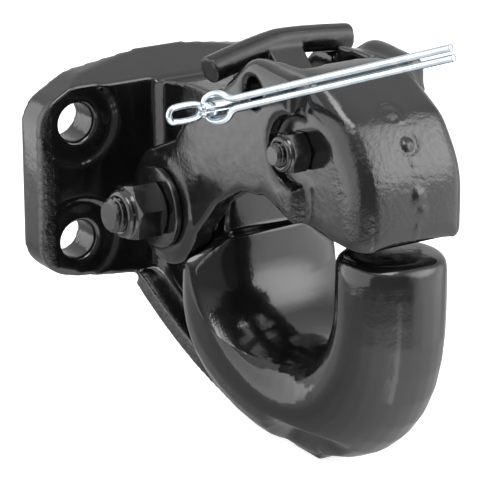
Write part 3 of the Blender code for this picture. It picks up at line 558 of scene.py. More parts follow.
def dress(piece: bpy.types.Object, material: bpy.types.Material, body: str, slot: str, *nodes: str) -> None:
    """Give a piece its finish, its body and the CAD nodes that it stands for.

    Args:
        piece: the object.
        material: its finish.
        body: the CAD body that it moves with.
        slot: the record's material slot, which is not used.
        nodes: the CAD nodes that it replaces.
    """
    piece.data.materials.clear()
    piece.data.materials.append(material)
    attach(piece, body)
    if nodes:
        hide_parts(*nodes)
    LOG.info("%s: %d faces on %s", piece.name, len(piece.data.polygons), body)


@dataclass(frozen=True)
class Lump:
    """A low blob on a casting's skin: its centre, its reach and how far it stands out."""

    across: float
    forward: float
    up: float
    reach: float
    height: float

    def far(self, places: np.ndarray) -> np.ndarray:
        """Each point's distance from the centre, over the reach."""
        return np.linalg.norm(places - np.array((self.across, -self.forward, self.up)), axis=1) / self.reach

    def raised(self, places: np.ndarray) -> np.ndarray:
        """How far the skin is raised: an eased dome by the distance from the centre."""
        return self.height * ease(1.0 - self.far(places))


@dataclass(frozen=True)
class Boss(Lump):
    """A round boss: a flat top of half its reach, a steep side and a shallow ring-shaped groove."""

    def raised(self, places: np.ndarray) -> np.ndarray:
        """How far the skin is raised: an eased step for the top, less an eased band for the groove.

        Args:
            places: (count, 3) points.

        Returns:
            A height for each point, which is below 0 in the groove.
        """
        far = self.far(places)
        top = ease((0.80 - far) / 0.30)
        groove = ease(1.0 - np.abs(far - 0.92) / 0.20)
        return self.height * (top - 0.45 * groove)


@dataclass(frozen=True)
class Softening:
    """A box of a casting's skin whose edges are rounded further.

    Args:
        low, high: the box's corners as (across, forward, up).
        fade: how far outside the box the effect falls to nothing.
        strength: how strong it is inside, up to 1.
    """

    low: tuple[float, float, float]
    high: tuple[float, float, float]
    fade: float = 0.004
    strength: float = 1.0

    def weights(self, places: np.ndarray) -> np.ndarray:
        """How much each point is softened: the strength in the box, falling with the distance outside it.

        Args:
            places: (count, 3) points.

        Returns:
            A weight for each point, from 0 to the strength.
        """
        drawn = places * np.array((1.0, -1.0, 1.0))
        outside = np.maximum(np.maximum(np.array(self.low) - drawn, drawn - np.array(self.high)), 0.0)
        return self.strength * ease(1.0 - np.linalg.norm(outside, axis=1) / self.fade)


@dataclass
class Casting:
    """A casting whose edges are softened as sand and thick paint soften them.

    Args:
        node, name, body, slot: the CAD node, the new piece, its body and its material slot.
        paint: the finish.
        voxel: the even mesh's spacing.
        passes: how many times the skin is relaxed, which sets the edges' roundness.
        lumps: low blobs and bosses.
        softened, soft_passes: the boxes that are relaxed further, and how many times.
    """

    node: str
    name: str
    body: str
    slot: str
    paint: CastPaint
    voxel: float = 0.0010
    passes: int = 5
    lumps: tuple = ()
    softened: tuple = ()
    soft_passes: int = 40

    def build(self) -> bpy.types.Object:
        """Remesh a copy of the CAD node evenly, relax it and raise its lumps.

        Returns:
            The dressed casting.
        """
        piece = merged_copy(self.node, self.name)
        remesh = piece.modifiers.new("even", "REMESH")
        remesh.mode = "VOXEL"
        remesh.voxel_size = self.voxel
        relax = piece.modifiers.new("relax", "SMOOTH")
        relax.factor = 0.5
        relax.iterations = self.passes
        settle(piece)
        self.soften(piece)
        places, normals = vertex_arrays(piece.data)
        places += normals * self.relief(places, normals)[:, None]
        places = self.reshape(places)
        piece.data.vertices.foreach_set("co", places.ravel())
        piece.data.update()
        piece.data.shade_smooth()
        dress(piece, self.paint.make(), self.body, self.slot, self.node)
        return piece

    def reshape(self, places: np.ndarray) -> np.ndarray:
        """The points after any trim of the whole form, which here is none."""
        return places

    def soften(self, piece: bpy.types.Object) -> None:
        """Relax the skin further inside the softened boxes, by the strongest weight at each point.

        Args:
            piece: the casting, with its modifiers applied.
        """
        if not self.softened:
            return
        places, _ = vertex_arrays(piece.data)
        weights = np.max(np.stack([region.weights(places) for region in self.softened]), axis=0)
        steps = np.rint(weights * 10.0).astype(int)
        group = piece.vertex_groups.new(name="soft")
        for step in range(1, 11):
            group.add(np.flatnonzero(steps == step).tolist(), step / 10.0, "REPLACE")
        relax = piece.modifiers.new("soften", "SMOOTH")
        relax.factor = 0.5
        relax.iterations = self.soft_passes
        relax.vertex_group = "soft"
        settle(piece)
        piece.vertex_groups.clear()

    def relief(self, places: np.ndarray, normals: np.ndarray) -> np.ndarray:
        """How far each point is raised: the sum of its lumps and bosses."""
        return sum((lump.raised(places) for lump in self.lumps), np.zeros(len(places)))


@dataclass
class HookCasting(Casting):
    """The hook's body, whose bar is trimmed above the pad that stands out under it.

    Args:
        pad_half, pad_edge: half the pad's width, and the width of the step beside it.
        bar_bottom: the height above which the bar isn't trimmed.
        pad_back, pad_front: where the trim starts and ends, as distances forward.
        back_fade, front_fade: the lengths over which it comes in and goes out.
        kept: the share of the bar's depth that stays.
    """

    pad_half: float = 0.0082
    pad_edge: float = 0.0030
    bar_bottom: float = -0.0640
    pad_back: float = 0.0990
    pad_front: float = 0.1460
    back_fade: float = 0.014
    front_fade: float = 0.016
    kept: float = 0.30

    def reshape(self, places: np.ndarray) -> np.ndarray:
        """Lift the bar's underside beside the pad: below bar_bottom only the kept share of its depth stays.

        Args:
            places: (count, 3) points.

        Returns:
            The points with their new heights.
        """
        forward = -places[:, 1]
        beside = ease((np.abs(places[:, 0]) - self.pad_half) / self.pad_edge)
        along = ease((forward - self.pad_back) / self.back_fade) * ease((self.pad_front - forward) / self.front_fade)
        deep = np.maximum(self.bar_bottom - places[:, 2], 0.0)
        lifted = places.copy()
        lifted[:, 2] += (1.0 - self.kept) * deep * beside * along
        return lifted


@dataclass
class NoseCasting(Casting):
    """The latch, with the parting line down the middle of its nose and its far arm's shoulder.

    Args:
        line_start: how far forward the parting line begins.
        line_width, line_height: half the line's width, and its height.
        shoulder: the height of the far arm's shoulder.
        edge_at, edge_slope: one place (forward, up) on the arm's straight upper edge, and its slope.
        most: how far the edge may be raised.
        shoulder_start, shoulder_fade: where the raising begins, and over what length.
        depth: how far below the edge the arm is still drawn up.
        arm_start, arm_fade: where the arm begins across the hook, and over what width.
    """

    line_start: float = 0.1440
    line_width: float = 0.0013
    line_height: float = 0.0004
    shoulder: float = 0.0542
    edge_at: tuple = (0.072, 0.0400)
    edge_slope: float = 0.70
    most: float = 0.012
    shoulder_start: float = 0.058
    shoulder_fade: float = 0.014
    depth: float = 0.016
    arm_start: float = 0.012
    arm_fade: float = 0.004

    def reshape(self, places: np.ndarray) -> np.ndarray:
        """Draw the far arm's upper edge up to a level shoulder, fading out above its middle.

        The edge is a straight slope of the place ahead. What it lacks to the shoulder's height, up to
        the most, is added to its points, and less to those below it.

        Args:
            places: (count, 3) points.

        Returns:
            The points with their new heights.
        """
        forward = -places[:, 1]
        edge = self.edge_at[1] + (forward - self.edge_at[0]) * self.edge_slope
        lack = np.clip(self.shoulder - edge, 0.0, self.most)
        lack *= ease((forward - self.shoulder_start) / self.shoulder_fade)
        share = ease((places[:, 2] - edge + self.depth) / self.depth)
        share *= ease((places[:, 0] - self.arm_start) / self.arm_fade)
        drawn = places.copy()
        drawn[:, 2] += lack * share
        return drawn

    def relief(self, places: np.ndarray, normals: np.ndarray) -> np.ndarray:
        """The lumps, and a narrow ridge at X = 0 that starts ahead of line_start.

        The ridge wanders by a sine of the height, and a second sine breaks it into dashes.

        Args:
            places, normals: (count, 3) points and their normals.

        Returns:
            A height for each point.
        """
        raised = super().relief(places, normals)
        wander = 0.0005 * np.sin(places[:, 2] * 420.0)
        ridge = ease(1.0 - np.abs(places[:, 0] - wander) / self.line_width)
        ridge *= ease((np.sin(places[:, 2] * 500.0 + 0.9) + 0.35) / 0.5)
        ahead = ease((-places[:, 1] - self.line_start) / 0.006)
        outward = ease((-normals[:, 1] + 0.2 * normals[:, 2]) / 0.6)
        return raised + self.line_height * ridge * ahead * outward


@dataclass
class Wheel:
    """A shape turned about an axis across the hook, whose radius may change round it.

    Args:
        axis: the line it is turned about.
        sides: columns round it.
    """

    axis: Axis
    sides: int = 120

    def surface(self, name: str, along: np.ndarray, radius: np.ndarray, closed: bool,
                crease: float = 35.0) -> bpy.types.Object:
        """Carry a (along, radius) profile round the axis.

        Args:
            name: the object's name.
            along: each row's place across the hook.
            radius: each row's radius, as (rows,) or (rows, sides).
            closed: whether the last row meets the first, as on a ring.
            crease: the sharpest smooth bend in degrees.

        Returns:
            The new object.
        """
        turn = np.linspace(0.0, 2.0 * math.pi, self.sides, endpoint=False)[None, :]
        radius = radius if radius.ndim == 2 else np.repeat(radius[:, None], self.sides, axis=1)
        across = np.repeat(along[:, None], self.sides, axis=1)
        points = self.axis.place(across, radius * np.cos(turn), radius * np.sin(turn))
        faces = grid_faces(len(along), self.sides, closed, True)
        return mesh_object(name, points, faces, crease)

    def hexagon(self, flats: float, start: float) -> np.ndarray:
        """The radius of a hexagon round the axis: half the flats over the cosine from each flat's middle.

        Args:
            flats: the distance across flats.
            start: the angle of one corner in degrees.

        Returns:
            A radius for each column.
        """
        turn = np.linspace(0.0, 2.0 * math.pi, self.sides, endpoint=False)
        bend = (turn - math.radians(start)) % (math.pi / 3.0) - math.pi / 6.0
        return flats / 2.0 / np.cos(bend)


@dataclass
class LockNut(Wheel):
    """A nylon-ring lock nut with the bolt's thread end in it.

    Args:
        flats: distance across flats.
        seat: the nut's base, as a distance from the middle plane.
        height, collar_height: the hexagon's and the collar's heights.
        collar_radius: the collar's outer radius.
        bore: the radius that clears the thread.
        start: the angle of one corner in degrees.
        face: the chamfers' inner radius, over half the flats.
    """

    flats: float = 0.01905
    seat: float = 0.0315
    height: float = 0.0118
    collar_height: float = 0.0033
    collar_radius: float = 0.0086
    bore: float = 0.00665
    start: float = 12.0
    face: float = 0.95

    def build(self, name: str) -> bpy.types.Object:
        """Turn the nut: base, hexagon with both ends chamfered, crimped collar, lip and bore.

        Each column's radius is the smaller of the hexagon's and the profile's.

        Args:
            name: the object's name.

        Returns:
            The new object.
        """
        hexagon = self.hexagon(self.flats, self.start)
        corner = self.flats / math.sqrt(3.0)
        face = self.flats / 2.0 * self.face
        top = self.seat + self.height
        lip = top + self.collar_height
        fall = (corner - face) * np.linspace(0.0, 1.0, 8)
        rows = [(self.seat, self.bore), (self.seat, face)]
        rows += [(self.seat + drop * CHAMFER_SLOPE, face + drop) for drop in fall]
        rows += [(top - drop * CHAMFER_SLOPE, face + drop) for drop in fall[::-1]]
        rows += [(top + 0.0001, self.collar_radius + 0.0004)]
        bend = np.linspace(0.0, math.pi * 0.62, 9)
        crimp = self.collar_height * 0.5
        dome = [(lip - crimp + crimp * math.sin(angle), self.collar_radius - crimp * (1.0 - math.cos(angle)))
                for angle in bend]
        inner = (self.bore + self.collar_radius) / 2.0
        rows += [(top + 0.0008, self.collar_radius)] + dome + [(lip - 0.0012, inner), (lip - 0.0018, self.bore)]
        along = np.array([row[0] for row in rows])
        radius = np.array([row[1] for row in rows])
        return self.surface(name, -along, np.minimum(hexagon[None, :], radius[:, None]), True, 22.0)


@dataclass
class ThreadedBolt(Wheel):
    """A hexagon bolt with a real helical thread on the end that shows.

    Args:
        radius: the thread's outer radius.
        pitch: the thread's pitch.
        flats, head: the head's width and height.
        seat: where the head sits on the far side.
        end: where the thread ends on the near side.
        thread: how long the thread is.
        start: the head's turn in degrees.
        steepness, flat: the thread's slope and the width of its crest, as shares of the wave.
        depth, root: the thread's depth and the core's, over the pitch.
        run_out: the length over which the thread fades into the shank.
        face, under: the head's flat radius on top and underneath, over half the flats.
    """

    radius: float = 0.00635
    pitch: float = 0.00195
    flats: float = 0.01905
    head: float = 0.0080
    seat: float = 0.0315
    end: float = 0.0504
    thread: float = 0.0220
    start: float = 21.0
    steepness: float = 1.35
    flat: float = 0.18
    depth: float = 0.57
    root: float = 0.62
    run_out: float = 0.003
    face: float = 0.94
    under: float = 0.97

    def build(self, name: str) -> bpy.types.Object:
        """Turn the bolt: end face, helical thread, shank and head.

        The thread's radius falls from the crest by a triangle wave of the place along the axis
        less one pitch for each turn round it. The wave fades out at the end's chamfer and at
        the run-out.

        Args:
            name: the object's name.

        Returns:
            The new object.
        """
        turn = np.linspace(0.0, 1.0, self.sides, endpoint=False)
        steps = int(self.thread / self.pitch * 12)
        along = np.linspace(self.end - 0.0002, self.end - self.thread, steps)
        phase = (along[:, None] / self.pitch + turn[None, :]) % 1.0
        wave = np.clip(np.abs(phase - 0.5) * 2.0 * self.steepness - self.flat, 0.0, 1.0)
        fade = ease((along - (self.end - self.thread)) / self.run_out)[:, None]
        core = self.radius - self.root * self.pitch
        radius = self.radius - self.depth * self.pitch * wave * fade
        radius = np.minimum(radius, (core + (self.end - along))[:, None])
        end_along = np.array([self.end, self.end, self.end])
        end_radius = np.repeat(np.array([0.00001, core * 0.5, core * 0.97])[:, None], self.sides, axis=1)
        half = self.flats / 2.0
        corner = self.flats / math.sqrt(3.0)
        top = self.seat + self.head
        face = half * self.face
        fall = (corner - face) * np.linspace(1.0, 0.0, 8)
        head = [(-self.seat, self.radius), (-self.seat, half * self.under), (-self.seat - 0.0004, corner)]
        head += [(-top + drop * CHAMFER_SLOPE, face + drop) for drop in fall]
        head += [(-top, half * 0.5), (-top, 0.00001)]
        head_radius = np.minimum(self.hexagon(self.flats, self.start)[None, :],
                                 np.array([row[1] for row in head])[:, None])
        all_along = np.concatenate([end_along, along, np.array([row[0] for row in head])])
        all_radius = np.concatenate([end_radius, radius, head_radius])
        return self.surface(name, -all_along, all_radius, False, 24.0)


@dataclass
class Ring(Wheel):
    """A washer or a nylon ring: a flat band with rounded edges.

    Args:
        inner, outer: its radii.
        low, high: its two faces, as places across the hook.
        edge: the rounding of its edges.
    """

    inner: float = 0.0066
    outer: float = 0.0146
    low: float = 0.0286
    high: float = 0.0312
    edge: float = 0.0006

    def build(self, name: str) -> bpy.types.Object:
        """Turn the band: its outer edges are quarter circles of the edge radius.

        Args:
            name: the object's name.

        Returns:
            The new object.
        """
        bend = np.linspace(0.0, math.pi / 2.0, 6)
        upper = np.stack([self.high - self.edge + self.edge * np.cos(bend),
                          self.outer - self.edge + self.edge * np.sin(bend)], axis=1)
        lower = np.stack([self.low + self.edge - self.edge * np.cos(bend[::-1]),
                          self.outer - self.edge + self.edge * np.sin(bend[::-1])], axis=1)
        rows = np.concatenate([[[self.high, self.inner]], upper, lower, [[self.low, self.inner]]])
        return self.surface(name, rows[:, 0], rows[:, 1], True, 50.0)


@dataclass(frozen=True)
class SplitPin:
    """A split pin: one wire bent to an eye and two legs side by side.

    Args:
        eye_width: the eye's width on the wire's middle line.
        eye_length: the eye's length, from the neck.
        shoulder: how far the eye takes to open and to close.
        end_width: the width of the eye's flat end.
        spread: the distance between the legs' middle lines.
        leg: the legs' length ahead of the neck.
        wire: the wire's radius in the eye.
        leg_radius: the wire's radius in the legs.
        seam: half the gap between the legs' flat inner sides.
        tip_radius, tip_from: the wire's radius at the legs' ends, and how far along that begins.
        dome_rings, dome_reach, dome_fall: the rings of each rounded end, their length over the wire's
            radius, and how much the last one shrinks.
    """

    eye_width: float
    eye_length: float
    shoulder: float
    end_width: float
    spread: float
    leg: float
    wire: float = 0.0012
    leg_radius: float = 0.0012
    seam: float = 0.0001
    tip_radius: float = 0.0011
    tip_from: float = 1.0
    dome_rings: int = 5
    dome_reach: float = 0.3
    dome_fall: float = 0.35

    def path(self) -> np.ndarray:
        """The wire's middle line in its own plane, with the legs along the first axis from the neck at 0.

        Returns:
            (count, 2) points, from the end of one leg round the eye to the end of the other.
        """
        half_eye = self.eye_width / 2.0
        half_leg = self.spread / 2.0
        along = np.linspace(self.leg, 0.0, 17)
        upper = np.stack([along, np.full(17, half_leg)], axis=1)
        eye = np.array([(-self.shoulder, half_eye), (self.shoulder - self.eye_length, half_eye),
                        (-self.eye_length, self.end_width / 2.0)])
        upper = np.concatenate([upper, eye])
        return self.cut_corners(np.concatenate([upper, upper[::-1] * np.array((1.0, -1.0))]), 3)

    @staticmethod
    def cut_corners(line: np.ndarray, times: int) -> np.ndarray:
        """Round a line by replacing each corner with points a quarter and three quarters along its sides.

        Args:
            line: (count, 2) points.
            times: how often it is done.

        Returns:
            The rounded line, with the same ends.
        """
        for _ in range(times):
            first = line[:-1] * 0.75 + line[1:] * 0.25
            second = line[:-1] * 0.25 + line[1:] * 0.75
            middle = np.stack([first, second], axis=1).reshape(-1, line.shape[1])
            line = np.concatenate([line[:1], middle, line[-1:]])
        return line

    def build(self, name: str, frame: Matrix, sides: int = 20) -> bpy.types.Object:
        """Sweep a circle along the path; the ends are domed by shrinking the last rings.

        Args:
            name: the object's name.
            frame: takes the pin's plane (along, side, across) into the model's frame.
            sides: points round the wire.

        Returns:
            The new object.
        """
        flat = self.path()
        line = np.stack([flat[:, 0], np.zeros(len(flat)), flat[:, 1]], axis=1)
        tangent = np.gradient(line, axis=0)
        tangent /= np.linalg.norm(tangent, axis=1, keepdims=True)
        count = self.dome_rings
        inset = np.linspace(0.0, self.dome_reach, count)
        dome = 1.0 - self.dome_fall * (1.0 - inset / self.dome_reach) ** 2
        rings = np.concatenate([line[:1] + tangent[:1] * (inset * self.wire)[:, None], line[1:-1],
                                line[-1:] - tangent[-1:] * (inset[::-1] * self.wire)[:, None]])
        heading = np.concatenate([np.repeat(tangent[:1], count, axis=0), tangent[1:-1],
                                  np.repeat(tangent[-1:], count, axis=0)])
        thickness = self.wire + (self.leg_radius - self.wire) * ease(0.5 + rings[:, 0] / 0.0008)
        thickness += (self.tip_radius - self.leg_radius) * ease((rings[:, 0] - self.tip_from) / 0.0010)
        thickness[:count] *= dome
        thickness[-count:] *= dome[::-1]
        side = np.array((0.0, 1.0, 0.0))
        other = np.cross(heading, side)
        turn = np.linspace(0.0, 2.0 * math.pi, sides, endpoint=False)
        circle = side[None, None, :] * np.cos(turn)[None, :, None] + other[:, None, :] * np.sin(turn)[None, :, None]
        points = rings[:, None, :] + circle * thickness[:, None, None]
        way = np.where(rings[:, 2] > 0.0, 1.0, -1.0)[:, None]
        closed = (rings[:, 0] > -0.0005)[:, None]
        points[..., 2] = np.where(closed, way * np.maximum(points[..., 2] * way, self.seam), points[..., 2])
        points = points.reshape(-1, 3)
        caps = np.stack([rings[0], rings[-1]])
        count = len(rings)
        faces = grid_faces(count, sides, False, True)
        turned = np.array(frame.to_3x3())
        moved = np.concatenate([points, caps]) @ turned.T + np.array(frame.translation)
        column = np.arange(sides)
        after = (column + 1) % sides
        first_cap = np.stack([np.full(sides, count * sides), after, column, column], axis=1)
        last = (count - 1) * sides
        last_cap = np.stack([np.full(sides, count * sides + 1), last + column, last + after, last + after], axis=1)
        mesh = bpy.data.meshes.new(name)
        triangles = [row[:3] for row in np.concatenate([first_cap, last_cap]).tolist()]
        mesh.from_pydata(moved.tolist(), [], faces.tolist() + triangles)
        work = bmesh.new()
        work.from_mesh(mesh)
        bmesh.ops.recalc_face_normals(work, faces=work.faces)
        work.to_mesh(mesh)
        work.free()
        mesh.shade_smooth()
        piece = bpy.data.objects.new(name, mesh)
        bpy.context.scene.collection.objects.link(piece)
        return piece


@dataclass
class PinPair:
    """The short split pin in the near ear and the long one whose eye hangs on it.

    Args:
        hole: the line of the cross hole's resting pin.
        neck: how far out the short pin's neck is.
        across: where the long pin's eye crosses the short pin.
        yaw, pitch: the way the long pin points, in degrees.
        short, long: the two pins.
    """

    hole: Axis = Axis(0.1055, 0.0489)
    neck: float = 0.0468
    across: float = 0.0425
    yaw: float = 22.0
    pitch: float = 19.6
    short: SplitPin = SplitPin(eye_width=0.0054, eye_length=0.0125, shoulder=0.0016, end_width=0.0024,
                               spread=0.0012, leg=0.0253, wire=0.0011, leg_radius=0.0020, tip_from=0.0175)
    long: SplitPin = SplitPin(eye_width=0.0092, eye_length=0.0112, shoulder=0.0032, end_width=0.0058,
                              spread=0.0032, leg=0.0882)

    def build(self) -> None:
        """Make both pins and dress them in zinc."""
        zinc = ZincPlate("bright_zinc").make()
        at_hole = Vector((0.0, -self.hole.forward, self.hole.up))
        frame = Matrix.Translation(at_hole + Vector((-self.neck, 0.0, 0.0)))
        dress(self.short.build("anchor_wire", frame), zinc, "anchor_pin", "zinc_plated_wire", "anchor_pin")
        reach = self.long.eye_length - self.long.wire - self.short.leg_radius
        turn = (Matrix.Rotation(-math.pi / 2.0 + math.radians(self.yaw), 4, "Z")
                @ Matrix.Rotation(-math.radians(self.pitch), 4, "Y"))
        frame = (Matrix.Translation(at_hole + Vector((-self.across, 0.0, 0.0))) @ turn
                 @ Matrix.Translation((reach, 0.0, 0.0)))
        dress(self.long.build("long_wire", frame), zinc, "long_pin", "zinc_plated_wire", "long_pin")


@dataclass
class Fasteners:
    """Both pivots' bolts, lock nuts, nylon rings and washers.

    Args:
        ear_face: how far out the arms' bosses are at the main pivot.
        gap: the clearance between stacked pieces.
        washer, washer_radius: a washer's thickness and its outer radius.
        cheek: how far out the cheeks are at the lever's pivot.
        main_end, lever_end: how far each bolt stands out of its nut.
    """

    ear_face: float = 0.0283
    gap: float = 0.0003
    washer: float = 0.0026
    washer_radius: float = 0.0146
    cheek: float = 0.0220
    main_end: float = 0.0038
    lever_end: float = 0.0026

    def build(self) -> None:
        """Make the main pivot's stack and the lever pivot's."""
        paint = FastenerPaint("fastener_black").make()
        nylon = NylonRing("nylon_black").make()
        low = self.ear_face + self.gap
        seat = low + self.washer + self.gap
        nut = LockNut(MAIN_PIVOT, seat=seat)
        for side, name, node in ((Side.NEAR, "near_washer", "near_pivot_washer"),
                                 (Side.FAR, "far_washer", "far_pivot_washer")):
            ends = sorted((side.value * low, side.value * (low + self.washer)))
            ring = Ring(MAIN_PIVOT, inner=nut.bore, outer=self.washer_radius, low=ends[0], high=ends[1])
            dress(ring.build(name), paint, "hook", "black_washer", node)
        bolt = ThreadedBolt(MAIN_PIVOT, seat=seat, end=seat + nut.height + nut.collar_height + self.main_end)
        dress(nut.build("main_nut"), paint, "hook", "black_fastener", "pivot_nut")
        dress(bolt.build("main_bolt"), paint, "hook", "black_fastener", "pivot_bolt")
        ring = self.nylon_ring(nut, 0.0078)
        dress(ring.build("main_nylon"), nylon, "hook", "nut_nylon_ring", "pivot_nut_ring")
        seat = self.cheek + self.gap
        nut = LockNut(LOCK_PIVOT, flats=0.0127, seat=seat, height=0.0067, collar_height=0.0021,
                      collar_radius=0.0060, bore=0.00427, start=9.0)
        bolt = ThreadedBolt(LOCK_PIVOT, radius=0.00397, pitch=0.00141, flats=0.0127, head=0.0053, seat=seat,
                            end=seat + nut.height + nut.collar_height + self.lever_end, thread=0.0140, start=24.0)
        dress(nut.build("lever_nut"), paint, "latch", "black_fastener", "lock_nut")
        dress(bolt.build("lever_bolt"), paint, "latch", "black_fastener", "lock_bolt")
        ring = self.nylon_ring(nut, 0.0052)
        dress(ring.build("lever_nylon"), nylon, "latch", "nut_nylon_ring", "lock_nut_ring")

    @staticmethod
    def nylon_ring(nut: LockNut, outer: float) -> Ring:
        """The nylon ring inside a nut's collar, from a tenth to about four fifths of its height.

        Args:
            nut: the nut.
            outer: the ring's outer radius.

        Returns:
            The ring, ready to be built.
        """
        base = nut.seat + nut.height
        return Ring(nut.axis, inner=nut.bore, outer=outer, low=-(base + nut.collar_height * 0.78),
                    high=-(base + nut.collar_height * 0.1), edge=0.0003)


@dataclass(frozen=True)
class SoftBox:
    """A rectangular soft lamp aimed at a point.

    Args:
        name: the lamp's name.
        place, target: where it stands and what it points at.
        width, height: its size.
        power: its strength in watts.
        in_gloss: whether it shows in glossy surfaces.
    """

    name: str
    place: tuple
    target: tuple
    width: float
    height: float
    power: float
    in_gloss: bool = True

    def build(self) -> None:
        """Add the lamp to the scene, unseen by the camera."""
        data = bpy.data.lights.new(self.name, "AREA")
        data.shape = "RECTANGLE"
        data.size = self.width
        data.size_y = self.height
        data.energy = self.power
        lamp = bpy.data.objects.new(self.name, data)
        lamp.visible_camera = False
        lamp.visible_glossy = self.in_gloss
        lamp.location = self.place
        lamp.rotation_euler = (Vector(self.target) - Vector(self.place)).to_track_quat("-Z", "Y").to_euler()
        bpy.context.scene.collection.objects.link(lamp)


@dataclass(frozen=True)
class Glow:
    """A round soft light in the gloss.

    Args:
        heading, rise: its middle's angle to the right of straight ahead and above level, in degrees.
        reach, core: the angles from the middle where it is nothing and where it is full.
        strength: its full strength.
    """

    heading: float
    rise: float
    reach: float
    core: float
    strength: float

    def middle(self) -> tuple[float, float, float]:
        """The direction of its middle."""
        turn, lift = math.radians(self.heading), math.radians(self.rise)
        return math.sin(turn) * math.cos(lift), -math.cos(turn) * math.cos(lift), math.sin(lift)

    def add(self, tree: bpy.types.NodeTree, way: bpy.types.NodeSocket) -> bpy.types.Node:
        """Add the light to a world, by the cosine of the angle from its middle.

        Args:
            tree: the world's node tree.
            way: the socket with the direction.

        Returns:
            The Map Range node with its strength.
        """
        cosine = tree.nodes.new("ShaderNodeVectorMath")
        cosine.operation = "DOT_PRODUCT"
        tree.links.new(way, cosine.inputs[0])
        cosine.inputs[1].default_value = self.middle()
        node = tree.nodes.new("ShaderNodeMapRange")
        node.interpolation_type = "SMOOTHSTEP"
        tree.links.new(cosine.outputs["Value"], node.inputs["Value"])
        set_range(node, math.cos(math.radians(self.reach)), math.cos(math.radians(self.core)), 0.0, self.strength)
        return node


